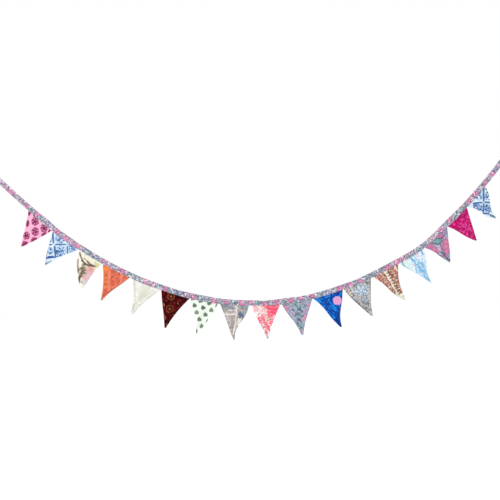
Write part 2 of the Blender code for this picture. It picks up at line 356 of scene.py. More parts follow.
def binding_section(distance, sizes):
    """Section of the folded strip at each distance: out of the plane and up, over stations and points.

    From the raw edge inside the front leaf it runs down to the lower fold, up the outside, over the crown
    and down the back in the same way. The crown is half an ellipse, each lower fold a half circle, and both
    leaves are drawn in by a bell where the stitching holds them.
    """
    distance = distance[:, None]
    leaf = leaf_depth(distance)
    lining = leaf - LINING_GAP
    stray = wander(distance)
    lower = -BINDING_HEIGHT / 2 + HEM_LIFT + stray
    crown = BINDING_HEIGHT / 2 + crown_rise(distance)
    shoulder = crown - SHOULDER_DROP - 0.8 * stray

    inner = np.linspace(0.0, 1.0, 6)
    lining_up = shoulder - RAW_EDGE_DROP + (lower - shoulder + RAW_EDGE_DROP) * inner
    lining_out = lining + 0.0 * inner
    turn = np.linspace(0.0, math.pi, 5)[1:-1]
    fold_up = lower - (leaf - lining) / 2 * np.sin(turn)
    fold_out = (leaf + lining) / 2 - (leaf - lining) / 2 * np.cos(turn)
    outer = np.array([0.0, 0.08, 0.16, 0.26, 0.42, 0.6, 0.8, 1.0])
    leaf_up = lower + (shoulder - lower) * outer
    leaf_out = leaf + 0.0 * outer
    arc = np.linspace(0.0, math.pi / 2, 5)[1:]
    crown_up = shoulder + (crown - CROWN_INSET - shoulder + 0.5 * stray) * np.sin(arc)
    crown_out = leaf * np.cos(arc)
    up = np.concatenate([lining_up, fold_up, leaf_up, crown_up], axis=1)
    out = np.concatenate([lining_out, fold_out, leaf_out, crown_out], axis=1)

    stitched = np.exp(-((up - lower - sizes.stitch_rise) / STITCH_BELL) ** 2)
    out -= stitched * stitch_pull(distance) * (up < shoulder)
    swell = np.sin(math.pi * np.clip((up - lower) / (shoulder - lower), 0, 1))
    out += 0.00018 * swell * np.sin(distance / 0.0093 + 2.0 * np.sin(distance / 0.041)) * (out > 0)

    out = np.concatenate([-out, out[:, -2::-1]], axis=1)
    up = np.concatenate([up, up[:, -2::-1]], axis=1)
    return out, up


def fold_binding(sizes):
    """The binding: one strip folded in four, carried along the bow as centre + up * height + out."""
    stations = np.linspace(0.0, LENGTH, round(LENGTH / sizes.binding_step) + 1)
    centre, _, rise = binding_frame(stations)
    out, up = binding_section(stations, sizes)
    points = centre[:, None] + rise[:, None] * up[..., None]
    points[..., 1] += out
    steps = np.linalg.norm(np.diff(points, axis=1), axis=-1)
    cut = np.concatenate([np.zeros((len(stations), 1)), np.cumsum(steps, axis=1)], axis=1)
    plane = np.stack([stations[:, None] + 0.0 * cut, cut - cut[:, -1:] / 2], axis=-1)

    index = np.arange(points.shape[0] * points.shape[1]).reshape(points.shape[:2])
    faces = grid_quads(index)[:, ::-1].tolist()
    fields = {
        name: np.repeat(print_places(stations, places), points.shape[1], axis=0)
        for name, places in (("rose", ROSE_PLACES), ("leaf", LEAF_PLACES))
    }
    piece = add_piece(
        "folded_binding", points.reshape(-1, 3), faces, plane.reshape(-1, 2), "binding_strip", **fields
    )
    wall = piece.modifiers.new("cloth thickness", "SOLIDIFY")
    wall.thickness = STRIP_WALL
    wall.offset = 0.0
    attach(piece, "root")
    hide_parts("binding")
    return piece


def print_places(stations, places):
    """A count that passes a whole number at each place along the binding, and the chart steps for one."""
    marks = np.interp((np.array(places) + CHART_LEFT) * CHART_STEP, LINE[:, 0], ALONG)
    marks = np.concatenate([[-1.0], marks, [LENGTH + 1.0]])
    count = np.interp(stations, marks, np.arange(len(marks)))
    gap = np.searchsorted(marks, stations, side="right") - 1
    rate = np.diff(marks)[gap] / CHART_STEP
    return np.stack([count, rate, 0.0 * count], axis=-1)


def stitch_row(sizes):
    """Front and back rows of stitches, each a small tube that rises from the cloth and dips back into it.

    A stitch is a ring of points carried from station to station along the binding, thinner at both ends,
    and its height above the leaf is a half sine of the distance along it.
    """
    first = PENNANTS[0]["start"] - STITCH_MARGIN
    last = PENNANTS[-1]["end"] + STITCH_MARGIN
    pitch = sizes.stitch_length + sizes.stitch_gap
    starts = np.arange(first, last, pitch)
    rng = np.random.default_rng(STITCH_SEED)
    starts = starts + rng.uniform(-0.00012, 0.00012, len(starts))
    along = np.linspace(0.0, 1.0, STITCH_STATIONS)
    spots = starts[:, None] + along[None] * sizes.stitch_length
    leaf = leaf_depth(spots) - stitch_pull(spots)
    level = -BINDING_HEIGHT / 2 + HEM_LIFT + wander(spots) + sizes.stitch_rise
    level = level + rng.uniform(-0.00010, 0.00010, (len(starts), 1))
    arch = leaf + THREAD_LIFT + THREAD_ARCH * (np.sin(math.pi * along) - (2 * along - 1) ** 2)
    centre, _, rise = binding_frame(spots)
    ring = np.linspace(0.0, 2 * math.pi, STITCH_SIDES, endpoint=False)
    thick = sizes.thread_half * (1 - 0.45 * (2 * along - 1) ** 4)
    parts = []
    for side in (-1.0, 1.0):
        body = centre + rise * level[..., None]
        body[..., 1] += side * arch
        round_up = np.sin(ring)[None, None, :, None] * thick[None, :, None, None] * rise[:, :, None]
        tube = body[:, :, None] + round_up
        tube[..., 1] += np.cos(ring)[None, None] * thick[None, :, None]
        parts.append(tube)
    tubes = np.concatenate(parts)
    index = np.arange(tubes[..., 0].size).reshape(tubes.shape[:-1])
    wrapped = np.concatenate([index, index[..., :1]], axis=-1)
    faces = grid_quads(wrapped).tolist() + index[:, 0].tolist() + index[:, -1, ::-1].tolist()
    points = tubes.reshape(-1, 3)
    piece = add_piece("binding_stitches", points, faces, points[:, [0, 2]], "stitching_thread")
    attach(piece, "root")
    return piece


SOCKETS = {"VECTOR": "NodeSocketVector", "VALUE": "NodeSocketFloat", "RGBA": "NodeSocketColor"}
HALF = (0.5, 0.5, 0.5)


class Wire:
    """One output of a node. Sums and products with numbers and other wires go on as new nodes."""

    def __init__(self, sketch, socket):
        self.sketch = sketch
        self.socket = socket

    def __abs__(self):
        return self.sketch.math("ABSOLUTE", self)

    def clamped(self):
        """Keeps the sum between 0 and 1."""
        self.socket.node.use_clamp = True
        return self


def operator(operation, swapped):
    """Method of a wire for one arithmetic sign."""
    def work(self, other):
        return self.sketch.math(operation, *((other, self) if swapped else (self, other)))
    return work


for sign, operation in (("add", "ADD"), ("sub", "SUBTRACT"), ("mul", "MULTIPLY"), ("truediv", "DIVIDE")):
    setattr(Wire, f"__{sign}__", operator(operation, False))
    setattr(Wire, f"__r{sign}__", operator(operation, True))


def is_vector(value):
    """Whether a value is a vector or colour rather than one number."""
    return value.socket.type in ("VECTOR", "RGBA") if isinstance(value, Wire) else isinstance(value, tuple)


def fresh(blocks, name, *kind):
    """A new material or node group, in place of an old one of the same name."""
    old = blocks.get(name)
    if old is not None:
        blocks.remove(old)
    return blocks.new(name, *kind)


class Sketch:
    """Adds nodes to a tree from left to right, with wires linked in and plain values set."""

    def __init__(self, tree):
        self.tree = tree
        self.count = 0

    def add(self, kind, **settings):
        node = self.tree.nodes.new(kind)
        node.location = (190 * (self.count % 14), -190 * (self.count // 14))
        self.count += 1
        for name, value in settings.items():
            setattr(node, name, value)
        return node

    def put(self, socket, value):
        if isinstance(value, Wire):
            self.tree.links.new(value.socket, socket)
        else:
            socket.default_value = value

    def fill(self, node, **values):
        """Puts each value in the node's input of that name."""
        for label, value in values.items():
            self.put(node.inputs[label], value)

    def math(self, operation, *values):
        """A sum of numbers, or of vectors where one of the values is a vector."""
        if not any(map(is_vector, values)):
            node = self.add("ShaderNodeMath", operation=operation)
        elif operation == "MULTIPLY" and not all(map(is_vector, values)):
            node = self.add("ShaderNodeVectorMath", operation="SCALE")
            vector, scale = sorted(values, key=is_vector, reverse=True)
            self.put(node.inputs["Scale"], scale)
            values = (vector,)
        else:
            node = self.add("ShaderNodeVectorMath", operation=operation)
        for socket, value in zip(node.inputs, values):
            self.put(socket, value)
        single = operation in ("LENGTH", "DOT_PRODUCT", "DISTANCE")
        return Wire(self, node.outputs["Value"] if single else node.outputs[0])

    def parts(self, vector):
        node = self.add("ShaderNodeSeparateXYZ")
        self.put(node.inputs[0], vector)
        return [Wire(self, socket) for socket in node.outputs]

    def join(self, x, y, z=0.0):
        node = self.add("ShaderNodeCombineXYZ")
        for socket, value in zip(node.inputs, (x, y, z)):
            self.put(socket, value)
        return Wire(self, node.outputs[0])

    def field(self, name):
        """Vector field of the mesh."""
        return Wire(self, self.add("ShaderNodeAttribute", attribute_name=name).outputs["Vector"])

    def edge(self, inside, soft):
        """1 inside a shape and 0 outside, from the distance inside its outline, soft on both sides of it."""
        return (inside / (soft * 2.0) + 0.5).clamped()

    def mix(self, mask, below, above):
        node = self.add("ShaderNodeMix", data_type="RGBA", clamp_factor=True)
        for place, value in ((0, mask), (6, below), (7, above)):
            self.put(node.inputs[place], (*value, 1.0) if isinstance(value, tuple) else value)
        return Wire(self, node.outputs[2])

    def noise(self, vector, scale, detail=2.0, roughness=0.5):
        node = self.add("ShaderNodeTexNoise", noise_dimensions="3D")
        self.fill(node, Vector=vector, Scale=scale, Detail=detail, Roughness=roughness)
        return Wire(self, node.outputs["Fac"]), Wire(self, node.outputs["Color"])

    def cell(self, vector, scale, feature):
        """Distance and colour of scattered cells."""
        node = self.add("ShaderNodeTexVoronoi", voronoi_dimensions="2D", feature=feature)
        self.fill(node, Vector=vector, Scale=scale)
        return Wire(self, node.outputs["Distance"]), Wire(self, node.outputs.get("Color"))

    def chance(self, x, y):
        """An even random number for each pair of whole numbers."""
        node = self.add("ShaderNodeTexWhiteNoise", noise_dimensions="2D")
        self.put(node.inputs["Vector"], self.join(x, y))
        return Wire(self, node.outputs["Value"])

    def group(self, name, **values):
        node = self.add("ShaderNodeGroup", node_tree=bpy.data.node_groups[name])
        self.fill(node, **values)
        return SimpleNamespace(**{socket.name: Wire(self, socket) for socket in node.outputs})

    def leave(self, **wires):
        """Gives a node group its outputs."""
        for label, wire in wires.items():
            kind = SOCKETS[wire.socket.type]
            self.tree.interface.new_socket(name=label, in_out="OUTPUT", socket_type=kind)
        self.fill(self.add("NodeGroupOutput"), **wires)

    def shade(self, values, height, depth, strength=1.0):
        """Sets the material's shader, with a bump from the height."""
        bump = self.add("ShaderNodeBump")
        self.fill(bump, Height=height, Distance=depth, Strength=strength)
        shader = self.tree.nodes["Principled BSDF"]
        shader.location = (3000, 0)
        self.fill(shader, **values, Normal=Wire(self, bump.outputs[0]))


def new_group(name, vectors, **numbers):
    """An empty node group with its named inputs, as a sketch and the wires from its entry."""
    tree = fresh(bpy.data.node_groups, name, "ShaderNodeTree")
    for label in vectors.split():
        tree.interface.new_socket(name=label, in_out="INPUT", socket_type="NodeSocketVector")
    for label, value in numbers.items():
        socket = tree.interface.new_socket(name=label, in_out="INPUT", socket_type="NodeSocketFloat")
        socket.default_value = value
    s = Sketch(tree)
    entry = s.add("NodeGroupInput").outputs
    return s, SimpleNamespace(**{label: Wire(s, entry[label]) for label in (*vectors.split(), *numbers)})


def group_chart_place():
    """Place on the printing chart, in steps of 4 mm, with the slight waver of a printed edge."""
    s, g = new_group("chart place", "UV", Waver=0.22)
    x, y, _ = s.parts(g.UV)
    straight = s.join(x / CHART_STEP - CHART_LEFT, CHART_TOP - y / CHART_STEP)
    _, tone = s.noise(straight, 0.9, 1.5)
    s.leave(Place=straight + (tone - HALF) * g.Waver * (2.0, 2.0, 0.0), Straight=straight)


def stroke_distance(s, g):
    """Distance from a straight stroke, and how far along it the nearest point lies, from 0 to 1."""
    reach = g.Place - g.From
    line = g.To - g.From
    square = s.math("MAXIMUM", s.math("DOT_PRODUCT", line, line), 0.0001)
    along = (s.math("DOT_PRODUCT", reach, line) / square).clamped()
    return s.math("LENGTH", reach - line * along), along


def group_stroke():
    """A straight stroke with round ends that thins towards its far end; a dot where both ends meet."""
    s, g = new_group("print stroke", "Place From To", Width=0.5, Taper=0.25, Soft=0.16, Strength=1.0)
    distance, along = stroke_distance(s, g)
    s.leave(Mask=s.edge(g.Width * (1.0 - along * g.Taper) - distance, g.Soft) * g.Strength)


def group_leaf():
    """A leaf along a midrib: its half width is the width times 4 along (1 - along). Rib is the midrib."""
    s, g = new_group("print leaf", "Place From To", Width=1.0, Soft=0.16, Strength=1.0)
    distance, along = stroke_distance(s, g)
    mask = s.edge(g.Width * (along * (1.0 - along) * 4.0) - distance, g.Soft) * g.Strength
    s.leave(Mask=mask, Rib=s.edge(0.10 - distance, 0.08) * mask)


def polar(s, g):
    """Distance from the centre of a figure, and the turn about it."""
    x, y, _ = s.parts(g.Place - g.Centre)
    return s.math("SQRT", x * x + y * y), s.math("ARCTAN2", y, x) + g.Turn


def group_bloom():
    """A lobed flower: its reach is radius (1 - depth (1 - |cos(petals turn / 2)|)). Rim is its outline."""
    s, g = new_group("print bloom", "Place Centre", Radius=3.0, Petals=5.0, Depth=0.35, Turn=0.0, Line=0.28,
                     Soft=0.2, Strength=1.0)
    radius, angle = polar(s, g)
    lobe = abs(s.math("COSINE", angle * g.Petals * 0.5))
    inside = g.Radius * (1.0 - g.Depth * (1.0 - lobe)) - radius
    mask = s.edge(inside, g.Soft)
    rim = (mask - s.edge(inside - g.Line, g.Soft)).clamped()
    core = s.edge(g.Radius * 0.26 - radius, g.Soft)
    s.leave(Mask=mask * g.Strength, Rim=rim * g.Strength, Core=core * g.Strength)


def group_rosette():
    """A ring of dots: the turn about the centre is folded into one sector, where a dot stands."""
    s, g = new_group("print rosette", "Place Centre", Radius=2.2, Dots=6.0, Dot=0.9, Turn=0.0, Soft=0.2,
                     Strength=1.0)
    radius, angle = polar(s, g)
    sector = 2 * math.pi / g.Dots
    angle = angle - s.math("ROUND", angle / sector) * sector
    away = radius * s.math("COSINE", angle) - g.Radius
    aside = radius * s.math("SINE", angle)
    distance = s.math("SQRT", away * away + aside * aside)
    s.leave(Mask=s.edge(g.Dot - distance, g.Soft) * g.Strength)


def group_heart():
    """A heart with its point up: x squared + (y - 0.62 root |x|) squared inside 1, in its own size."""
    s, g = new_group("print heart", "Place", Size=2.0, Soft=0.1)
    x, y, _ = s.parts(g.Place)
    x = x * 1.02 / g.Size
    y = y / g.Size - s.math("SQRT", abs(x)) * 0.62
    s.leave(Mask=s.edge(1.0 - s.math("SQRT", x * x + y * y), g.Soft))


def group_repeat():
    """Place within one cell of a slanted repeat, whose two steps are given, and a tone for each cell."""
    s, g = new_group("print repeat", "Place Origin Across Down")
    reach = g.Place - g.Origin
    (px, py, _), (ax, ay, _), (bx, by, _) = map(s.parts, (reach, g.Across, g.Down))
    whole = ax * by - ay * bx
    first = s.math("ROUND", (px * by - py * bx) / whole)
    second = s.math("ROUND", (ax * py - ay * px) / whole)
    s.leave(Place=reach - g.Across * first - g.Down * second, Tone=s.chance(first, second))


def group_mottle():
    """Small printed flecks inside a round patch: a noise above a level, fading out past the radius."""
    s, g = new_group("print mottle", "Place Centre", Radius=4.0, Scale=0.6, Level=0.5, Soft=0.03, Seed=0.0,
                     Strength=1.0)
    x, y, _ = s.parts(g.Place)
    tone, _ = s.noise(s.join(x, y, g.Seed), g.Scale, 1.0)
    ragged = s.math("DISTANCE", g.Place, g.Centre) + (tone - 0.5) * 3.0
    s.leave(Mask=s.edge(tone - g.Level, g.Soft) * s.edge(g.Radius - ragged, 0.5) * g.Strength)


def group_cells():
    """Leaded cells: a dark line along the borders of scattered cells, and two tones for each cell."""
    s, g = new_group("print cells", "Place", Scale=0.3, Line=0.3, Soft=0.14)
    _, bend = s.noise(g.Place, 0.4, 1.0)
    place = g.Place + (bend - HALF) * 2.4
    border, _ = s.cell(place, g.Scale, "DISTANCE_TO_EDGE")
    _, colour = s.cell(place, g.Scale, "F1")
    away = border / g.Scale
    tone, other, _ = s.parts(colour)
    s.leave(Line=s.edge(g.Line - away, g.Soft), Tone=tone, Other=other)


def group_scroll():
    """Curling lines: the contour lines of a noise, as the sine of its value times the number of rings."""
    s, g = new_group("print scroll", "Place", Scale=0.16, Rings=60.0, Level=0.3, Soft=0.25, Seed=0.0,
                     Strength=1.0)
    x, y, _ = s.parts(g.Place)
    tone, _ = s.noise(s.join(x, y, g.Seed), g.Scale, 0.0)
    s.leave(Mask=s.edge(s.math("SINE", tone * g.Rings) - g.Level, g.Soft) * g.Strength)


def group_weave():
    """Plain weave: warp and weft threads pass over and under by turns, with slubs along both."""
    s, g = new_group("plain weave", "UV", Threads=2000.0)
    x, y, _ = s.parts(g.UV)
    warp, weft = (s.math("SINE", side * g.Threads * math.pi) for side in (x, y))
    height = warp * weft * 0.5 + 0.5
    long_x, _ = s.noise(g.UV * (60.0, 1600.0, 1.0), 1.0, 1.0)
    long_y, _ = s.noise(g.UV * (1600.0, 60.0, 1.0), 1.0, 1.0)
    slub = long_x + long_y - 1.0
    # Shade is painted shade where the threads dip, together with the slubs' own tone
    s.leave(Height=height + slub, Shade=height * 0.5 + slub)


def group_finish_and_shade():
    """Washed cotton over a print: fading, threads, painted shade on each sewn side, and pale worn folds."""
    s, g = new_group("cotton finish", "Colour UV Seam", Left=0.1, Right=0.1, Reach=0.006, Wear=0.12)
    left, right, tip = s.parts(g.Seam)
    # Painted shade: the colour darkens towards the left and right sewn sides, by their strengths over the
    # reach
    near_left, near_right = ((1.0 - side / g.Reach).clamped() for side in (left, right))
    nearest = s.math("MINIMUM", s.math("MINIMUM", left, right), tip)
    # Painted shade: a faint dark line along the step where the turned seam allowance ends inside the cloth
    step = (1.0 - abs(nearest - 0.0068) / 0.0009).clamped()
    worn = (1.0 - nearest / 0.0011).clamped()
    weave = s.group("plain weave", UV=g.UV)
    broad, _ = s.noise(g.UV, 22.0, 3.0)
    fine, _ = s.noise(g.UV, 420.0, 3.0, 0.65)
    crease, _ = s.noise(g.UV, 75.0, 2.0, 0.45)
    # Mottled fading from the two noises, plus the weave's painted shade between threads and its slub tone
    tone = 0.965 + (broad - 0.5) * 0.13 + (fine - 0.5) * 0.14 + (weave.Shade - 0.25) * 0.10
    tone = tone - (near_left * g.Left + near_right * g.Right) - step * 0.04
    s.leave(
        Colour=s.mix(worn * g.Wear, g.Colour * tone, (0.86, 0.86, 0.86)),
        Roughness=0.80 + fine * 0.16,
        Height=crease * 0.55 + weave.Height * 0.05 + fine * 0.05,
    )


PRINT_GROUPS = (
    group_chart_place, group_stroke, group_leaf, group_bloom, group_rosette, group_heart, group_repeat,
    group_mottle, group_cells, group_scroll, group_weave, group_finish_and_shade,
)


def table(rows):
    """Rows of marks, also where a single one is given."""
    return rows if isinstance(rows[0], tuple) else (rows,)


class Cloth:
    """One printed cotton being drawn: its sketch, its place on the chart and its colour so far.

    Marks are rows of numbers in chart steps. A stroke or leaf is x, y, far x, far y and half width, a dot x,
    y and radius, and a bloom or rosette x, y, radius and turn. A turn that is left out is x.
    """

    def __init__(self, name, ground, waver):
        material = fresh(bpy.data.materials, name)
        material.use_nodes = True
        material.diffuse_color = (*ground, 1.0)
        self.sketch = Sketch(material.node_tree)
        self.uv = Wire(self.sketch, self.sketch.add("ShaderNodeUVMap", uv_map="cloth").outputs[0])
        chart = self.sketch.group("chart place", UV=self.uv, Waver=waver)
        self.place = chart.Place
        self.waver = chart.Place - chart.Straight
        self.colour = tuple(ground)

    def print(self, mask, dye):
        if dye is not None:
            self.colour = self.sketch.mix(mask, self.colour, tuple(dye))

    def figure(self, kind, **values):
        return self.sketch.group("print " + kind, Place=self.place, **values)

    def stroke(self, dye, rows, strength=1.0, taper=0.25, soft=0.16):
        for x, y, far_x, far_y, width in table(rows):
            mask = self.figure("stroke", From=(x, y, 0), To=(far_x, far_y, 0), Width=width, Taper=taper,
                               Soft=soft, Strength=strength)
            self.print(mask.Mask, dye)

    def dot(self, dye, rows, strength=1.0):
        self.stroke(dye, [(x, y, x, y, radius) for x, y, radius in table(rows)], strength, 0.0)

    def leaf(self, dye, rows, strength=1.0, rib=None, soft=0.16):
        for x, y, far_x, far_y, width in table(rows):
            mask = self.figure("leaf", From=(x, y, 0), To=(far_x, far_y, 0), Width=width, Soft=soft,
                               Strength=strength)
            self.print(mask.Mask, dye)
            self.print(mask.Rib, rib)

    def bloom(self, dye, rows, petals, depth, strength=1.0, rim=None, core=None, soft=0.2):
        for x, y, radius, *turn in table(rows):
            mask = self.figure("bloom", Centre=(x, y, 0), Radius=radius, Petals=petals, Depth=depth,
                               Turn=turn[0] if turn else x, Soft=soft, Strength=strength)
            self.print(mask.Mask, dye)
            self.print(mask.Rim, rim)
            self.print(mask.Core, core)

    def rosette(self, dye, rows, dots, dot, strength=1.0):
        for x, y, radius, *turn in table(rows):
            mask = self.figure("rosette", Centre=(x, y, 0), Radius=radius, Dots=dots, Dot=dot,
                               Turn=turn[0] if turn else x, Strength=strength)
            self.print(mask.Mask, dye)

    def mottle(self, dye, row, scale, level, seed, strength, soft=0.03):
        x, y, radius = row
        mask = self.figure("mottle", Centre=(x, y, 0), Radius=radius, Scale=scale, Level=level, Soft=soft,
                           Seed=seed, Strength=strength)
        self.print(mask.Mask, dye)

    def scroll(self, dye, scale, rings, level, seed, strength, soft):
        mask = self.figure("scroll", Scale=scale, Rings=rings, Level=level, Soft=soft, Seed=seed,
                           Strength=strength)
        self.print(mask.Mask, dye)

    def cells(self, scale, line, dyes, line_dye, strength, seed):
        """Cells coloured in turn by the dyes, as (dye, share of the cells, strength), with dark borders."""
        s = self.sketch
        place = self.place + (seed, seed, 0.0)
        cell = s.group("print cells", Place=place, Scale=scale, Line=line)
        for number, (dye, share, amount) in enumerate(dyes):
            tone = cell.Tone if number % 2 else cell.Other
            self.print(s.math("LESS_THAN", tone, share) * amount, dye)
        broken, _ = s.noise(place, 0.5, 1.0)
        self.print(cell.Line * s.edge(broken - 0.42, 0.08) * strength, line_dye)

    def finish_and_shade(self, left=0.10, right=0.10, width=0.006, wear=0.12, sheen=0.10, gloss=0.25, seam=True):
        """Adds the washed cotton with painted shade by its sewn sides, left and right, and the shader."""
        s = self.sketch
        cotton = s.group(
            "cotton finish", Colour=self.colour, UV=self.uv, Left=left, Right=right, Reach=width, Wear=wear,
            Seam=s.field("seam") if seam else (0.03, 0.03, 0.03),
        )
        s.shade({
            "Base Color": cotton.Colour, "Roughness": cotton.Roughness, "Specular IOR Level": gloss,
            "Sheen Weight": sheen, "Sheen Roughness": 0.5,
        }, cotton.Height, 0.001, 0.7)


# How much of each dye's brightness is kept, because the stage lights the cloth brighter than full white
LIT = 0.69
WHOLE_CHART = (0, 0, 9000)

# The dyes of each cloth, as written in six hex digits
DYES = {
    "floral": ("the binding's cotton", (
        ("ground", "A9B6C6", "Blue-grey ground"), ("lilac", "B3A3C8", "Lilac shading"),
        ("pale", "D6DFE8", "Pale flecks"), ("white", "F0F4F8", "Near-white flecks"),
        ("pink", "D26FA0", "Pink flowers"), ("rose", "E6A9C6", "Light petals"),
        ("teal", "6FA9A2", "Teal leaves"), ("line", "465269", "Slate outlines"),
    )),
    "pink": ("the pink cotton", (
        ("ground", "FFB4D2", "Ground"), ("petal", "C24C8A", "Middle tone of the flowers"),
        ("berry", "74164A", "Dark magenta of the flowers"),
    )),
    "tile": ("the pale blue cotton", (
        ("ground", "D9EBFA", "Ground"), ("light", "86AEDC", "Light blue filling"),
        ("line", "35659F", "Crossing lines"), ("deep", "1A479E", "Deep blue bars"),
        ("teal", "3C6678", "Teal buds"),
    )),
    "cream": ("the blossom cotton", (
        ("ground", "F5EFDD", "Ground"), ("bark", "4F4430", "Branches"), ("taupe", "9C8C74", "Stems"),
        ("blossom", "E2A19C", "Pink blossom"), ("leaf", "C8CE7C", "Yellow-green leaf"),
        ("lilac", "CFC6DC", "Lilac petals"),
    )),
    "coral": ("the coral cotton", (
        ("ground", "E4684C", "Ground"), ("light", "F69A80", "Light salmon"),
        ("orange", "F68A36", "Orange patch"), ("dark", "A44E30", "Brick specks"),
    )),
    "ivory": ("the leaf cotton", (
        ("ground", "F3F1E8", "Ground"), ("leaf", "DEDFD0", "Faint leaves"),
        ("grey", "C8C9C2", "Faint grey lines"),
    )),
    "maroon": ("the maroon cotton", (
        ("ground", "550307", "Ground"), ("red", "8C1C1E", "Red tone"), ("dark", "260507", "Near black"),
        ("tan", "A8744A", "Tan rings"),
    )),
    "heart": ("the heart cotton", (
        ("ground", "F2F8F0", "Ground"), ("green", "58715A", "Grey-green hearts"),
        ("tint", "E2F3DE", "Pale green about the hearts"),
    )),
    "lattice": ("the lattice cotton", (
        ("ground", "ABA3A1", "Warm grey ground"), ("line", "E8E1DB", "Off-white lines"),
        ("blue", "6C7F9E", "Blue patch"), ("teal", "86A5B0", "Teal patch"),
        ("dark", "6F6A70", "Dark flecks"),
    )),
    "rose": ("the rose cotton", (
        ("ground", "F8F3F1", "Ground"), ("coral", "F5627C", "Coral of the roses"),
        ("red", "DC3A58", "Red petal lines of the roses"), ("pale", "FBB4BC", "Pale petals of the roses"),
        ("olive", "B8A57C", "Leaves"), ("grey", "A39C9C", "Grey buds"),
    )),
    "royal": ("the royal blue cotton", (
        ("ground", "0862CC", "Ground"), ("dark", "04348E", "Dark blue"), ("light", "1E90F0", "Light blue"),
        ("pink", "E9A8DA", "Pink flower"),
    )),
    "flower": ("the light grey cotton", (
        ("ground", "B6B5B6", "Ground"), ("blue", "AECBE2", "Light blue flowers"),
        ("line", "535C66", "Dark outlines"), ("warm", "C8BCB2", "Warm shading"),
    )),
    "ornament": ("the ornament cotton", (
        ("ground", "F6EEDE", "Cream ground"), ("red", "C66A5A", "Light red"),
        ("brick", "96392F", "Brick red"), ("olive", "5E5C38", "Olive ticks"),
    )),
    "sky": ("the frond cotton", (
        ("ground", "F2F8FD", "Ground"), ("pale", "CDE6F8", "Pale blue"),
        ("frond", "84C0E6", "Sky blue fronds"), ("deep", "5590BC", "Deeper blue of the fronds"),
        ("mint", "CFE9DE", "Mint leaves"), ("lilac", "DDBFE0", "Lilac buds"),
    )),
    "magenta": ("the magenta cotton", (
        ("ground", "DC1478", "Ground"), ("dark", "9C0850", "Dark scrolls"),
        ("light", "F24CA6", "Light scrolls"),
    )),
    "stitch": ("the stitching", (("thread", "B9B9C8", "Thread"),)),
}


def linear(written):
    """Linear colour for a dye written in six hex digits, darkened by the light that falls on the cloth."""
    values = []
    for i in (0, 2, 4):
        tone = int(written[i:i + 2], 16) / 255
        values.append(LIT * (tone / 12.92 if tone <= 0.04045 else ((tone + 0.055) / 1.055) ** 2.4))
    return tuple(values)


class BuntingDyes(bpy.types.PropertyGroup):
    """Dyes of the fifteen printed cottons and of the thread."""

    __annotations__ = {
        f"{cloth}_{part}": FloatVectorProperty(
            name=f"{cloth} {part}".capitalize(), description=f"{words} of {maker}", subtype="COLOR", size=3,
            min=0.0, max=1.0, default=linear(written),
        )
        for cloth, (maker, parts) in DYES.items() for part, written, words in parts
    }


# Where the strip shows a pink bloom, and where a teal leaf, in chart steps to the right
ROSE_PLACES = (
    11, 27, 37, 57, 66, 77, 104, 122, 145, 153, 165, 194, 214, 226, 242, 251, 265, 278, 291, 302, 313, 340,
    350, 360, 388, 397, 402, 441, 450, 469, 475, 485, 492,
)
LEAF_PLACES = (42, 87, 114, 130, 138, 158, 200, 233, 282, 316, 324, 378, 456, 461)


def strip_flower(c, field, petals, radius, depth, seed):
    """Masks of the flower at each whole number of the field's count, on both leaves of the strip."""
    s = c.sketch
    count, rate, _ = s.parts(s.field(field))
    whole = s.math("ROUND", count)
    _, across, _ = s.parts(c.uv)
    across = across / CHART_STEP
    tone = s.chance(whole + seed, s.math("SIGN", across))
    aside = abs(across) - (1.7 + tone * 2.4)
    place = s.join((count - whole) * rate, aside) + c.waver
    size = radius * (0.72 + s.math("FRACT", tone * 7.0) * 0.5)
    return (
        s.group("print bloom", Place=place, Radius=size * reach, Petals=petals, Depth=cut,
                Turn=tone * 6.0 + turn, Line=line, Soft=soft)
        for reach, cut, turn, line, soft in ((1.0, depth, 0.0, 0.30, 0.18), (0.58, 0.5, 0.6, 0.2, 0.15))
    )


def floral_ground(c, d, lilac, seed):
    """Clouded blue-grey and lilac, leaded with slate into pale, teal and pink cells."""
    c.mottle(d.floral_lilac, WHOLE_CHART, 0.16, lilac, seed, 0.85, 0.05)
    c.mottle(d.floral_rose, WHOLE_CHART, 0.08, 0.5, seed + 4, 0.55, 0.08)
    shares = ((d.floral_white, 0.2, 0.85), (d.floral_teal, 0.26, 0.8), (d.floral_rose, 0.2, 0.7))
    c.cells(0.44, 0.3, shares, d.floral_line, 0.85, seed)


def print_binding_strip(d):
    """Strip of the binding: pink blooms and teal leaves at the chosen places on the leaded ground."""
    c = Cloth("binding_strip", d.floral_ground, 0.7)
    c.place = c.uv * (1 / CHART_STEP) + c.waver
    floral_ground(c, d, 0.5, 2)
    leaf, vein = strip_flower(c, "leaf", 3, 2.8, 0.55, 11)
    c.print(leaf.Mask * 0.9, d.floral_teal)
    c.print(vein.Mask * 0.6, d.floral_white)
    c.print(leaf.Rim * 0.9, d.floral_line)
    bloom, petals = strip_flower(c, "rose", 4, 3.6, 0.34, 3)
    c.print(bloom.Mask * 0.92, d.floral_pink)
    c.print(petals.Mask * 0.6, d.floral_rose)
    c.print(petals.Core * 0.6, d.floral_line)
    c.print(bloom.Rim * 0.4, d.floral_line)
    c.mottle(d.floral_line, WHOLE_CHART, 0.62, 0.6, 11, 0.85, 0.035)
    c.mottle(d.floral_white, WHOLE_CHART, 0.55, 0.63, 6, 0.8, 0.035)
    c.finish_and_shade(wear=0.0, seam=False)


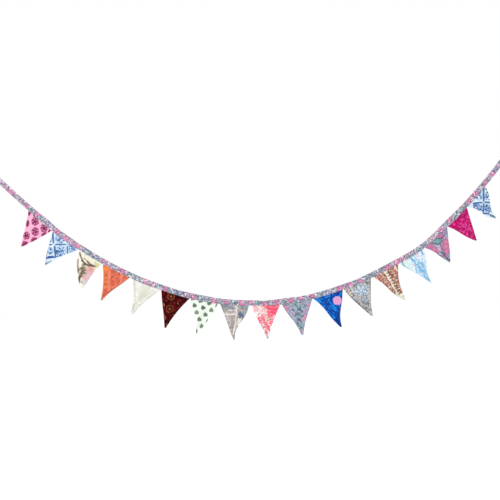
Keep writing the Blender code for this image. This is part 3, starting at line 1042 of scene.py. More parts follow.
def print_binding_floral(d):
    """The binding's cotton on two pennants, with its flowers where they fall on each."""
    c = Cloth("binding_floral_cotton", d.floral_ground, 0.5)
    c.mottle(d.floral_lilac, (298, 316, 22), 0.2, 0.47, 4, 0.9, 0.05)
    c.mottle(d.floral_lilac, (440, 244, 22), 0.22, 0.43, 9, 0.9, 0.05)
    c.cells(0.3, 0.24, ((d.floral_rose, 0.2, 0.6), (d.floral_teal, 0.2, 0.35)), d.floral_line, 0.95, 4)
    c.bloom(d.floral_teal, (
        (293, 305, 2.8, 0.4), (299.4, 315.8, 3, 0.4), (302.4, 326.4, 2.2, 0.4), (301, 305.8, 2.2, 0.4),
    ), 4, 0.3, 0.6, rim=d.floral_line)
    c.leaf(d.floral_line, (
        (294.6, 303.4, 298.4, 308.6, 1), (300.6, 304.2, 300, 309.4, 0.81), (297.4, 308.6, 302.4, 311.6, 0.94),
        (292, 308.4, 294, 312.4, 0.75), (294.4, 312.4, 299.8, 315.2, 1.12), (300.4, 313, 303.4, 311.2, 0.69),
        (294.2, 317.4, 296.6, 314.6, 0.62), (296.4, 318.2, 302, 321.6, 1), (301.4, 317, 303.6, 315, 0.62),
        (296.8, 321.8, 298.6, 325.6, 0.75), (299.6, 325, 302.4, 329, 0.88), (303.6, 303.8, 306.2, 307, 0.75),
    ), 0.95)
    c.mottle(d.floral_teal, (298, 314, 16), 0.42, 0.56, 5, 0.45, 0.04)
    c.mottle(d.floral_pale, (298, 314, 16), 0.4, 0.6, 8, 0.25, 0.04)
    c.mottle(d.floral_pink, (440, 244, 13), 0.5, 0.55, 3, 0.5, 0.05)
    for x, y, size, turn in (
        (285.4, 307.6, 2.3, 0.2), (287.2, 311.6, 1.7, 0.7), (308.6, 305, 2.2, 0.9), (306.4, 310, 1.5, 0.1),
        (304.8, 316.4, 2.2, 0.5), (303.8, 320, 1.7, 1.3), (300.2, 331.4, 1.2, 0.3),
    ):
        c.bloom(d.floral_pink, (x, y, size, turn), 4, 0.36, 0.8)
        c.bloom(d.floral_rose, (x, y, size * 0.55, turn + 0.6), 5, 0.45, 0.6, core=d.floral_line)
    c.bloom(d.floral_pale, (440.4, 247.4, 3.6, 0.2), 5, 0.3, 0.22, soft=0.9)
    for x, y, size, turn in (
        (434.6, 235.4, 3.8, 0), (439.8, 234.8, 3.7, 0.8), (441.4, 228.8, 2.9, 0.3),
        (446.4, 242.6, 3.3, 0.6), (445.8, 247.4, 4.1, 0.1), (446.8, 251.8, 2.8, 1),
        (428.8, 245.4, 4.2, 0.4), (434.8, 249.8, 3.3, 0.9), (443.6, 255.4, 1.5, 0.2),
    ):
        c.bloom(d.floral_pink, (x, y, size, turn), 5, 0.22, 0.95, rim=d.floral_line)
        c.bloom(d.floral_rose, (x - 0.4, y - 0.4, size * 0.5, turn + 0.5), 5, 0.4, 0.5)
        c.rosette(d.magenta_dark, (x, y, size * 0.3, turn), 4, size * 0.13, 0.6)
    c.bloom(d.floral_teal, (
        (436.8, 241, 3, 0.5), (431, 240.2, 2.2, 0.5), (427.2, 239.6, 1.6, 0.5), (440.6, 240, 1.6, 0.5),
    ), 4, 0.3, 0.9, rim=d.floral_line)
    # Slate strokes; the one from (447.2, 225) to (448.4, 238) is painted shade along pennant 15's right side
    c.stroke(d.floral_line, (
        (432, 238.6, 441.4, 238.4, 0.6), (441.4, 238.4, 447.6, 231.4, 0.65),
        (430.4, 242.8, 438.4, 244.4, 0.6), (441.4, 252, 448.8, 259.4, 0.95), (447.2, 225, 448.4, 238, 0.75),
        (440, 243.6, 442.4, 250.6, 0.6), (437.6, 254, 442, 257, 0.7), (434.6, 229.4, 437.6, 225.4, 0.7),
        (438.4, 244.4, 443.2, 239.6, 0.5),
    ), 0.8)
    c.finish_and_shade(left=0.1, right=0.14)


def print_pink_petal(d):
    """Light pink with clusters of dark magenta dots about a middle tone."""
    c = Cloth("pink_petal_cotton", d.pink_ground, 0.5)
    for x, y, size, turn in (
        (35, 221.4, 1, 0.2), (43.9, 228.1, 0.98, 0.6), (35.1, 231.7, 1.02, 0.1), (26.2, 235.7, 0.93, 0.9),
        (33.4, 239.9, 0.66, 0.4), (24.4, 243.9, 0.74, 0.2),
    ):
        for shift in (-0.85, 0.85):
            c.bloom(d.pink_petal, (x, y + shift * size, 3.9 * size, turn + shift), 5, 0.36, 0.8)
        c.mottle(d.pink_berry, (x, y, 4.0 * size), 0.62, 0.52, x, 0.85, 0.03)
        for shift in (-0.95, 0.95):
            c.rosette(d.pink_berry, (x, y + shift * size, 2.6 * size, turn), 7, 0.85 * size, 0.75)
        c.rosette(d.pink_berry, (x + 0.3, y - 0.2, 1.1 * size, turn + 0.5), 3, 0.75 * size, 0.9)
        c.rosette(d.pink_ground, (x, y, 2.3 * size, turn + 0.5), 5, 0.5 * size, 0.85)
    for *line, width in (
        (27.9, 219.6, 26.9, 227.6, 1.25), (29.8, 208.5, 28.8, 216.4, 1.1), (40.8, 235.9, 46.6, 232.6, 1.15),
        (47.6, 232.4, 53, 229.6, 1.3), (30.2, 241.6, 37.6, 237.8, 1.1), (40, 215.8, 43.2, 219, 1.2),
        (20.9, 246, 28, 241.9, 1.2), (33, 214.6, 35, 216.4, 0.8),
    ):
        c.leaf(d.pink_petal, (*line, width * 1.7), 0.85)
        c.leaf(d.pink_berry, (*line, width * 1.1), 0.85)
    c.finish_and_shade(left=0.05, right=0.04)


def print_blue_tile(d):
    """Pale blue with crossing lines, pale knots where they cross, and small blue fillings."""
    c = Cloth("blue_tile_cotton", d.tile_ground, 0.36)
    for x, y, size in (
        (60.4, 238.2, 5.4), (60.8, 251, 5.6), (72, 249.4, 4.6), (49.6, 250.8, 3.8), (48.6, 239.6, 3.4),
        (71, 240.8, 3.4), (477.8, 206.8, 4.6), (488, 208.4, 4.6), (478.6, 196, 4.2), (488, 196.2, 4.2),
    ):
        c.mottle(d.tile_light, (x, y, size), 0.4, 0.43, x, 0.85)
        c.mottle(d.tile_line, (x, y, size), 0.58, 0.5, x + 4, 0.95, 0.02)
        c.mottle(d.tile_ground, (x, y, size), 0.52, 0.56, x + 8, 0.9, 0.03)
    for x, y, size in (
        (59.8, 239, 1.5), (60.6, 252, 1.7), (72, 248.8, 1.4), (478.4, 206.8, 1.3), (487.6, 208, 1.3),
    ):
        c.bloom(d.tile_deep, (x, y, size), 4, 0.5, 0.7, core=d.tile_ground)
        c.rosette(d.tile_line, (x, y, size * 1.75), 8, 0.42, 0.85)
    c.stroke(d.tile_line, (
        (52.5, 231.5, 53.5, 243.2, 1.05), (54.6, 246, 55.6, 257, 1), (47.4, 244.9, 52.2, 244.5, 0.8),
        (55.9, 244.4, 66.2, 244.4, 0.8), (68.4, 244.6, 77, 245.2, 0.6), (67.2, 246, 67.5, 254.6, 0.68),
        (483.5, 188.5, 483.6, 201, 1), (483.5, 203.8, 483, 212, 0.95), (473.6, 203.4, 482, 202.4, 0.9),
        (485.2, 202.3, 492.4, 202.6, 0.9), (473.8, 204.8, 474, 210.2, 0.75), (67, 236, 67.2, 243, 0.55),
        (46, 252, 46.8, 256, 0.6), (76.4, 246.4, 79.6, 249, 0.7),
    ), 0.95, 0.1)
    c.stroke(d.tile_deep, (
        (46, 258, 55, 257.3, 0.95), (48.4, 256.6, 53.6, 256.2, 0.6), (483.6, 213.4, 489, 214, 0.85),
        (479.6, 209.4, 483, 210.8, 0.7), (57, 256.6, 62.4, 254.6, 0.6), (486, 209.6, 490, 211.6, 0.5),
    ), 0.95)
    for x, y, width in ((53.9, 244.6, 1.7), (67.3, 244.5, 1.3), (483.5, 202.4, 1.3)):
        c.bloom(d.tile_ground, (x, y, width, 0.78), 4, 0.4, 0.95, core=d.tile_light)
    c.dot(d.tile_line, (
        (481, 197.6, 0.95), (487, 197.5, 1), (477.2, 198.2, 0.9), (50.4, 241, 0.7), (50.6, 249, 0.8),
        (50.2, 253.4, 0.9), (481.2, 206.4, 0.9), (486.6, 206.4, 0.9), (479.6, 193, 0.8), (75.6, 247.6, 0.8),
    ), 0.9)
    c.dot(d.tile_teal, (
        (486.4, 189, 1.3), (487.1, 192.4, 1.05), (488.8, 195.2, 0.95), (489.6, 199.6, 0.85),
    ), 0.9)
    c.stroke(d.tile_teal, (46, 263.8, 51.4, 260.8, 0.75), 0.8)
    c.stroke(d.tile_teal, (490.4, 215.2, 494.6, 217, 1.05), 0.9)
    c.stroke(d.floral_lilac, (477, 212.4, 488.6, 219, 1.2), 0.5, 0, 0.4)
    c.finish_and_shade(left=0.06, right=0.05)


def print_cream_blossom(d):
    """Cream with a dark branch, taupe stems, a pink blossom and one yellow-green leaf."""
    c = Cloth("cream_blossom_cotton", d.cream_ground, 0.6)
    c.mottle(d.cream_taupe, (82, 268, 15), 0.5, 0.57, 5, 0.35, 0.05)
    c.bloom(d.cream_lilac, (87, 281, 4.6, 0.3), 4, 0.2, 0.85, soft=0.9)
    c.bloom(d.cream_lilac, (91.6, 275.4, 3.8, 0.9), 4, 0.2, 0.75, soft=0.9)
    c.bloom(d.cream_blossom, (89.4, 271, 5.6, 0.4), 5, 0.26, 0.8, soft=0.7)
    c.bloom(d.cream_blossom, (85.8, 276.4, 4.2, 0.9), 5, 0.3, 0.7, soft=0.7)
    c.bloom(d.cream_lilac, (87.6, 273.6, 3, 1), 5, 0.5, 0.5, soft=0.5)
    c.bloom(d.ornament_red, (91, 269.4, 2.6, 1.6), 5, 0.5, 0.35, soft=0.5)
    c.rosette(d.ornament_brick, (87.8, 271.6, 1.5, 0.4), 5, 0.4, 0.5)
    c.stroke(d.cream_taupe, (
        (83.2, 264.6, 81.2, 275.4, 1.55), (81.2, 274, 78.6, 280, 1.7), (77, 260, 77.6, 271, 1.7),
        (85.2, 267, 82.4, 274.6, 0.9), (79.8, 279, 82.4, 283.4, 0.9), (84, 258.4, 88, 261, 0.6),
    ), 0.9)
    c.mottle(d.cream_bark, (81.4, 272, 5.4), 0.62, 0.5, 2, 0.75)
    c.stroke(d.cream_bark, (
        (79.6, 252.6, 82.4, 260.8, 0.85), (82.2, 260.4, 85.8, 263.8, 1.1), (84.8, 264.2, 95, 266.4, 1.3),
        (87.4, 261.6, 92, 265.2, 0.9), (80.2, 276.4, 78.2, 285, 1.25), (76.8, 276, 80, 281.4, 0.9),
    ), 0.88)
    c.leaf(d.cream_ground, (81.4, 277.4, 80.2, 283, 0.6), 0.7)
    c.leaf(d.cream_leaf, (94.8, 261.4, 98.4, 268.4, 1.7), 0.85, rib=d.cream_taupe)
    c.leaf(d.cream_leaf, (97.4, 263.4, 100.4, 265.8, 1), 0.6)
    c.finish_and_shade(left=0.12, right=0.08)


def print_coral(d):
    """Coral with lighter salmon edges, an orange patch and rows of small brick specks."""
    c = Cloth("coral_cotton", d.coral_ground, 0.5)
    c.mottle(d.coral_light, (114, 280, 30), 0.34, 0.52, 6, 0.35, 0.05)
    c.mottle(d.coral_dark, (116, 280, 24), 0.46, 0.555, 3, 0.45, 0.04)
    c.stroke(d.coral_light, (
        (103, 271, 102.2, 298, 1), (109.4, 272, 108.6, 291, 0.8), (121.8, 272, 121, 282, 1),
    ), 0.6, 0, 0.5)
    c.bloom(d.coral_orange, (105.6, 267.4, 4.2, 0.4), 5, 0.25, 0.7, soft=0.6)
    c.stroke(d.coral_orange, (106.4, 272, 105.8, 287, 1.8), 0.35, 0, 0.6)
    for x, y, size in (
        (106.1, 275.4, 1.5), (105.8, 284.4, 1.5), (106.2, 279.8, 1), (112.6, 277, 1.35), (112.7, 285, 1.4),
        (112.8, 281, 0.9), (112.6, 270.8, 1.2), (119, 274.4, 1.2), (118.8, 281.2, 1.2), (125, 277.4, 1.1),
        (105.4, 290.6, 1.1), (116, 271.4, 0.9),
    ):
        c.bloom(d.coral_dark, (x, y, size), 4, 0.35, 0.8)
        c.dot(d.coral_orange, (x, y, size * 0.3), 0.6)
    c.stroke(d.coral_dark, (111.6, 272.2, 117, 271.6, 0.6), 0.4)
    # Painted shadow: a dark brick stroke along the lower edge
    c.stroke(d.coral_dark, (104, 295, 115, 288, 0.8), 0.75)
    # The strong right value paints shade along the right side
    c.finish_and_shade(left=0.02, right=0.26, width=0.005)


def print_ivory_leaf(d):
    """Ivory with large faint leaves and thin grey lines."""
    c = Cloth("ivory_leaf_cotton", d.ivory_ground, 0.6)
    c.mottle(d.ivory_grey, (143, 294, 24), 0.34, 0.54, 3, 0.45, 0.06)
    c.leaf(d.ivory_leaf, (137.6, 302, 150.8, 285, 4.2), 0.85, rib=d.ivory_grey, soft=0.8)
    c.leaf(d.ivory_leaf, (137, 290.6, 149, 284, 2.4), 0.6, rib=d.ivory_grey, soft=0.6)
    c.leaf(d.ivory_leaf, (144, 298.4, 156, 290, 2), 0.6, rib=d.ivory_grey, soft=0.6)
    c.leaf(d.ivory_leaf, (134.2, 314, 136.6, 301.4, 2.4), 0.95, rib=d.ivory_grey, soft=0.5)
    for *line, strength in (
        (134.6, 281, 134.9, 301, 0.9, 0.6), (146.6, 298.8, 155.6, 293, 0.7, 0.8),
        (139.4, 305.6, 146, 300.4, 0.7, 0.75), (145.6, 281.4, 157, 288.4, 0.6, 0.5),
        (133.4, 304, 133.9, 313, 0.6, 0.5),
    ):
        c.stroke(d.ivory_grey, line, strength, 0.2, 0.35)
    c.finish_and_shade(left=0.06, right=0.08)


def print_maroon_ring(d):
    """Maroon with darker upright bands and tan rings about a dot."""
    c = Cloth("maroon_ring_cotton", d.maroon_ground, 0.5)
    c.mottle(d.maroon_red, (173, 306, 26), 0.3, 0.53, 3, 0.55, 0.05)
    c.mottle(d.maroon_dark, (173, 306, 28), 0.28, 0.5, 8, 0.75, 0.05)
    c.stroke(d.maroon_dark, (
        (165.8, 290, 165, 324, 1), (176.4, 295, 175.6, 318, 1.5), (182, 296, 181.2, 311, 1.2),
        (169.4, 299, 168.6, 303.6, 1.5), (168.8, 313, 168, 326, 1.2),
    ), 0.6, 0.3, 0.5)
    c.stroke(d.maroon_dark, (176.6, 295.4, 188.6, 299.6, 1.7), 0.85, 0.2, 0.5)
    for x, y, strength in ((171, 296.4, 0.8), (169.7, 308.9, 0.5)):
        c.rosette(d.maroon_tan, (x, y, 3.35), 13, 0.5, strength)
        c.rosette(d.maroon_dark, (x, y, 2.1, 0.3), 6, 0.6, 0.8)
        c.bloom(d.maroon_tan, (x, y, 1.15, 0.1), 5, 0.3, strength + 0.1, core=d.maroon_dark)
    for x, y, strength in ((182.6, 305.4, 0.5), (177, 309, 0.35), (176, 300.6, 0.35)):
        c.rosette(d.maroon_red, (x, y, 1.8), 8, 0.5, strength)
    c.leaf(d.maroon_tan, (
        (164.6, 314.4, 165.4, 320, 0.7), (163.2, 302.6, 164.6, 306.8, 0.7), (166.4, 323.4, 167, 326, 0.8),
        (177.6, 302, 178.4, 305, 0.5),
    ), 0.8)
    c.dot(d.maroon_tan, (
        (166.4, 300.8, 0.5), (174.4, 303, 0.5), (173.4, 314.6, 0.5), (180.6, 300.6, 0.5),
    ), 0.5)
    c.finish_and_shade(left=0.01, right=0.05, wear=0, sheen=0, gloss=0.05)


def print_white_heart(d):
    """White with a slanted repeat of grey-green hearts, each on a pale green tint."""
    c = Cloth("white_heart_cotton", d.heart_ground, 0.25)
    s = c.sketch
    cell = s.group("print repeat", Place=c.place, Origin=(194.2, 304.7, 0.0), Across=(8.55, 2.35, 0.0),
                   Down=(2.45, 6.95, 0.0))
    c.print(s.edge(3.4 - s.math("LENGTH", cell.Place), 1.4) * 0.55, d.heart_tint)
    turned = s.add("ShaderNodeVectorRotate", rotation_type="Z_AXIS")
    s.put(turned.inputs["Vector"], cell.Place)
    s.put(turned.inputs["Angle"], (cell.Tone - 0.2) * 0.5)
    heart = s.group("print heart", Place=Wire(s, turned.outputs[0]), Size=2.2)
    c.print(heart.Mask * (0.84 + cell.Tone * 0.16), d.heart_green)
    c.finish_and_shade(left=0.04, right=0.04)


def print_grey_lattice(d):
    """Warm grey with off-white crossing lines and blue and teal patches."""
    c = Cloth("grey_lattice_cotton", d.lattice_ground, 0.5)
    c.mottle(d.lattice_dark, (234, 318, 26), 0.5, 0.55, 1, 0.42, 0.05)
    c.mottle(d.lattice_line, (234, 318, 26), 0.42, 0.57, 5, 0.45, 0.05)
    c.stroke(d.lattice_blue, (221, 304.6, 233, 308, 2), 0.6, 0.2, 0.7)
    c.stroke(d.lattice_dark, (221.4, 305.6, 223.8, 311.4, 0.8), 0.6)
    c.stroke(d.lattice_line, (
        (236.4, 301, 236.6, 313.6, 0.75), (223.6, 314.6, 237, 314.2, 0.78), (236.4, 314, 235.6, 322, 0.7),
        (235.6, 322, 233.2, 334, 0.8), (228, 310.6, 236, 310, 0.3),
    ), 0.9, 0.1)
    c.stroke(d.lattice_line, (240, 317.6, 237.6, 328.4, 1.9), 0.9, 0.4, 0.4)
    c.bloom(d.lattice_blue, (241, 315, 3.5, 0.5), 5, 0.34, 0.95, rim=d.lattice_dark)
    c.mottle(d.floral_line, (241, 315, 3.6), 0.62, 0.53, 3, 0.8, 0.04)
    c.bloom(d.lattice_teal, (242.6, 312.6, 1.9, 0.2), 5, 0.35, 0.7)
    c.bloom(d.lattice_teal, (244.6, 306.6, 2.9, 0.3), 4, 0.3, 0.9, rim=d.lattice_dark)
    c.leaf(d.lattice_dark, (
        (240.2, 303.6, 243.6, 310, 0.8), (236.4, 325, 239.6, 329.6, 0.8), (238.6, 316.4, 240.4, 318.8, 0.8),
        (234.4, 334, 234.8, 339, 0.9),
    ), 0.65)
    c.finish_and_shade(left=0.12, right=0.1)


def print_coral_rose(d):
    """White with one large coral rose and smaller ones falling away below it."""
    c = Cloth("coral_rose_cotton", d.rose_ground, 0.9)
    c.mottle(d.rose_pale, (264, 314, 13), 0.42, 0.52, 2, 0.8, 0.05)
    c.mottle(d.rose_coral, (269, 320, 12), 0.46, 0.55, 5, 0.9, 0.03)
    c.mottle(d.rose_red, (267, 326, 11), 0.6, 0.57, 8, 0.8, 0.03)
    for x, y, size, strength in (
        (271.6, 308.4, 5.8, 1), (266, 305.6, 3.4, 0.85), (277.4, 306.2, 4.6, 1), (275.2, 311.8, 4.2, 0.95),
        (270.6, 314.4, 3.6, 0.75),
    ):
        c.bloom(d.rose_coral, (x, y, size), 5, 0.22, strength, soft=0.4)
    for x, y, size, strength in ((261, 311, 2.2, 0.5), (264, 316, 2.2, 0.5), (275, 317, 1.8, 0.5)):
        c.bloom(d.rose_pale, (x, y, size), 5, 0.35, strength, rim=d.rose_coral, soft=0.3)
    c.leaf(d.rose_red, (
        (265.6, 307.6, 272, 309.6, 0.7), (272, 309.8, 279.6, 308, 0.75), (267.8, 311.8, 276.4, 312.6, 0.7),
        (272, 305.6, 277.4, 306.6, 0.6), (265, 303.8, 270, 305.4, 0.6), (268.8, 314.6, 274, 316, 0.5),
    ), 0.75)
    c.leaf(d.rose_pale, (
        (266.4, 309.6, 271, 311, 0.45), (273.4, 308, 278.4, 306, 0.4), (269, 306.6, 272.6, 307.4, 0.35),
    ), 0.7)
    c.leaf(d.rose_coral, (
        (258.8, 316.6, 259.6, 324, 1.35), (263, 317, 264.6, 324.4, 1), (266.6, 323.4, 268.8, 331.4, 1.9),
        (265.4, 329.6, 267.6, 335, 1.2), (269.8, 319.6, 271.2, 326, 1), (269.6, 329, 270.2, 333, 0.6),
    ), 0.9, rib=d.rose_red)
    c.stroke(d.rose_coral, (
        (253.8, 304.4, 254.6, 312.2, 0.7), (257, 306.6, 257.8, 311.6, 0.6), (260.2, 304.6, 261.6, 308, 0.6),
    ), 0.6)
    c.stroke(d.rose_olive, (255.4, 304.6, 256, 311, 0.5), 0.7)
    c.leaf(d.rose_olive, (
        (266.6, 319, 272.4, 317.4, 1.3), (264.2, 324.2, 267, 326.2, 0.9), (261.6, 306.6, 266, 312.6, 0.8),
        (263, 313.6, 266.4, 315.6, 0.7),
    ), 0.7)
    c.dot(d.rose_grey, (
        (262, 325.6, 1), (264.6, 326.6, 0.7), (268, 337.2, 1.1), (258.4, 314.2, 0.9), (273.6, 322, 0.7),
        (267.4, 332.6, 0.6),
    ), 0.8)
    c.finish_and_shade(left=0.04, right=0.04)


def print_royal_paisley(d):
    """Royal blue with dark and light curling figures and one pink flower."""
    c = Cloth("royal_paisley_cotton", d.royal_ground, 0.8)
    c.scroll(d.royal_light, 0.15, 30, 0.3, 2, 0.9, 0.2)
    c.scroll(d.royal_dark, 0.13, 32, 0.25, 7, 0.9, 0.2)
    c.mottle(d.royal_light, (329, 304, 22), 0.5, 0.55, 4, 0.9, 0.03)
    c.mottle(d.royal_dark, (331, 308, 24), 0.48, 0.54, 9, 0.95, 0.03)
    c.leaf(d.royal_dark, (
        (322.4, 297.6, 327.6, 307, 1.9), (329, 296.4, 333.4, 304.6, 1.4), (335, 311.6, 338.8, 320, 1.7),
        (326.4, 308.6, 333.4, 311.8, 1.4), (329.6, 313, 332.6, 317.6, 1.1), (338.4, 306, 340.8, 312.6, 1),
    ), 0.9, rib=d.royal_light)
    c.leaf(d.royal_light, (
        (314.6, 298.6, 321.4, 303, 1.8), (331, 305, 337, 310, 1.6), (332, 314.6, 336.4, 321, 1.3),
        (326, 292.6, 330.6, 297.6, 1.2), (325.4, 312, 328.6, 315.4, 0.9),
    ), 0.8, rib=d.royal_dark)
    c.bloom(d.flower_blue, (331.2, 291.6, 2.4, 0.4), 5, 0.3, 0.6, rim=d.royal_dark)
    c.stroke(d.royal_dark, (334.6, 292.6, 342, 290.2, 1.8), 0.85)
    c.bloom(d.royal_pink, (337.2, 300.6, 4.5, 0.78), 4, 0.12, 0.97, soft=0.35)
    c.bloom(d.rose_pale, (337, 300.2, 3.4, 0.5), 5, 0.35, 0.3)
    c.rosette(d.floral_pink, (337.4, 300.6, 2, 0.9), 5, 0.8, 0.45)
    c.dot(d.royal_dark, (341, 303.8, 1), 0.9)
    c.bloom(d.royal_dark, (
        (317.2, 305.4, 1.4), (319.8, 308.2, 1.4), (322.4, 311.2, 1.4), (325, 314, 1.4), (327.6, 317, 1.4),
        (331, 319.6, 1.4),
    ), 5, 0.3, 0.85, core=d.royal_pink)
    c.stroke(d.royal_dark, (336, 319.6, 341.8, 326.2, 1.7), 0.9, 0)
    c.finish_and_shade(left=0.08, right=0.12, wear=0.04, sheen=0, gloss=0.12)


def print_grey_flower(d):
    """Light grey with one light blue flower and small ones, dark sprigs and warm clouding."""
    c = Cloth("grey_flower_cotton", d.flower_ground, 0.6)
    c.mottle(d.flower_warm, (360, 298, 26), 0.14, 0.48, 3, 0.75, 0.08)
    c.mottle(d.flower_blue, (362, 292, 11), 0.2, 0.5, 6, 0.35, 0.08)
    c.mottle(d.flower_line, (361, 296, 26), 0.6, 0.56, 7, 0.8, 0.03)
    c.mottle(d.sky_ground, (361, 296, 26), 0.55, 0.61, 2, 0.6, 0.03)
    c.stroke(d.flower_line, (
        (351.4, 297.8, 359, 305.2, 1), (359, 305, 368, 312.8, 1.1), (370.6, 279, 370.9, 296, 0.8),
        (370.9, 296, 371.6, 310.6, 0.8), (345, 290.8, 352, 297.6, 0.5), (354.6, 300, 360, 299, 0.5),
        (364.4, 307.6, 370, 309.8, 0.7), (366.4, 296, 369.4, 306, 0.45), (361.4, 299, 364, 306.6, 0.45),
        (352.4, 287.6, 357.4, 284.4, 0.4),
    ), 0.75, 0.2, 0.2)
    c.leaf(d.flower_line, (
        (365, 281, 368.6, 284.6, 0.75), (369.4, 280.4, 366, 285, 0.75), (366.6, 302, 369.6, 305.6, 0.75),
        (369.4, 300, 366, 303.4, 0.75), (354.6, 284.4, 357.4, 287.6, 0.75),
        (356.6, 300.4, 359.6, 303.6, 0.75), (362.4, 303, 365.4, 299.8, 0.75), (352.4, 293, 355, 296.4, 0.75),
        (366, 309.6, 369, 306.4, 0.75), (349, 291.6, 352, 289.8, 0.75), (361.6, 282.6, 364.2, 280, 0.75),
        (357.4, 305, 360.4, 302, 0.75),
    ), 0.75, rib=d.flower_ground)
    for turn in (0.35, 1.62, 2.85, 4.1, 5.3):
        x, y = (361.2 + 6.6 * math.cos(turn), 290.6 + 6.2 * math.sin(turn))
        c.leaf(d.flower_line, (361.2, 290.6, x, y, 2.75), 0.75)
        c.leaf(d.flower_blue, (361.2, 290.6, x, y, 2.15), 0.95, rib=d.flower_line)
        c.leaf(d.sky_ground, (361.2, 290.6, x - 1, y - 1, 0.8), 0.45)
    c.rosette(d.flower_line, (361.2, 290.6, 1.5, 0.2), 7, 0.34, 0.8)
    c.dot(d.sky_ground, (361.2, 290.6, 0.8), 0.8)
    c.bloom(d.flower_blue, (
        (366.6, 300.4, 2), (358, 299.6, 1.6), (368.4, 307.8, 1.6),
    ), 5, 0.35, 0.8, rim=d.flower_line, core=d.flower_line)
    c.stroke(d.cream_taupe, (344, 290, 351, 296.6, 0.6), 0.6)
    c.finish_and_shade(left=0.1, right=0.1)


def print_red_ornament(d):
    """Cream with bands of small red ornament and rows of olive ticks between them."""
    c = Cloth("red_ornament_cotton", d.ornament_ground, 0.5)
    for x, y, size in (
        (378, 277.6, 6.4), (384.6, 280.4, 7.4), (391, 287, 6.8), (394.6, 270, 7), (396.6, 279, 6.4),
        (386, 273, 5.6), (398, 290, 4.4), (397, 264.6, 5),
    ):
        c.mottle(d.ornament_red, (x, y, size), 0.5, 0.39, x, 0.9)
        c.mottle(d.ornament_brick, (x, y, size), 0.6, 0.53, x + 3, 0.9, 0.03)
    c.mottle(d.ornament_ground, (388, 280, 22), 0.5, 0.59, 6, 0.9, 0.03)
    c.mottle(d.ornament_olive, (390, 280, 22), 0.6, 0.575, 4, 0.8, 0.03)
    c.bloom(d.ornament_brick, (
        (379.4, 276.6, 1.6), (384.6, 279.8, 1.9), (392.6, 272.4, 1.8), (395.6, 280.4, 1.6),
        (388.6, 285.4, 1.5),
    ), 6, 0.4, 0.8, rim=d.ornament_ground, core=d.ornament_ground)
    c.stroke(d.ornament_ground, (
        (384, 269, 393.4, 285, 1.35), (392.4, 285, 398.8, 294.6, 1.1), (373, 277.4, 381.4, 283.2, 0.9),
        (394.6, 264.6, 397.4, 271, 0.6),
    ), 0.95, 0.1, 0.25)
    for x, y in (
        (388, 272.6), (389.4, 275.2), (390.9, 277.8), (392.4, 280.4), (393.9, 283), (395.4, 285.6),
        (396.9, 288.2), (398.4, 290.8), (399.9, 293.4),
    ):
        c.stroke(d.ornament_olive, (x - 1.3, y + 0.8, x + 1.5, y - 0.9, 0.52), 0.9, 0)
    for x, y in ((382.2, 284), (384.4, 286), (386.6, 287.9), (388.8, 289.8), (391.2, 291.7), (393.6, 293.6)):
        c.stroke(d.ornament_brick, (x - 0.8, y + 1.2, x + 1.1, y - 1.3, 0.55), 0.9, 0)
        c.stroke(d.ornament_olive, (x + 0.4, y + 1.4, x + 1.9, y - 0.5, 0.32), 0.7, 0)
    for x, y in ((396.8, 262.6), (398, 269.6), (398.6, 276.6), (397.6, 273), (399.4, 283)):
        c.stroke(d.ornament_olive, (x - 0.6, y - 1, x + 0.5, y + 1, 0.45), 0.8, 0)
    c.stroke(d.ornament_ground, (400.6, 295, 403.8, 300.4, 1), 0.9, 0, 0.3)
    c.finish_and_shade(left=0.08, right=0.12)


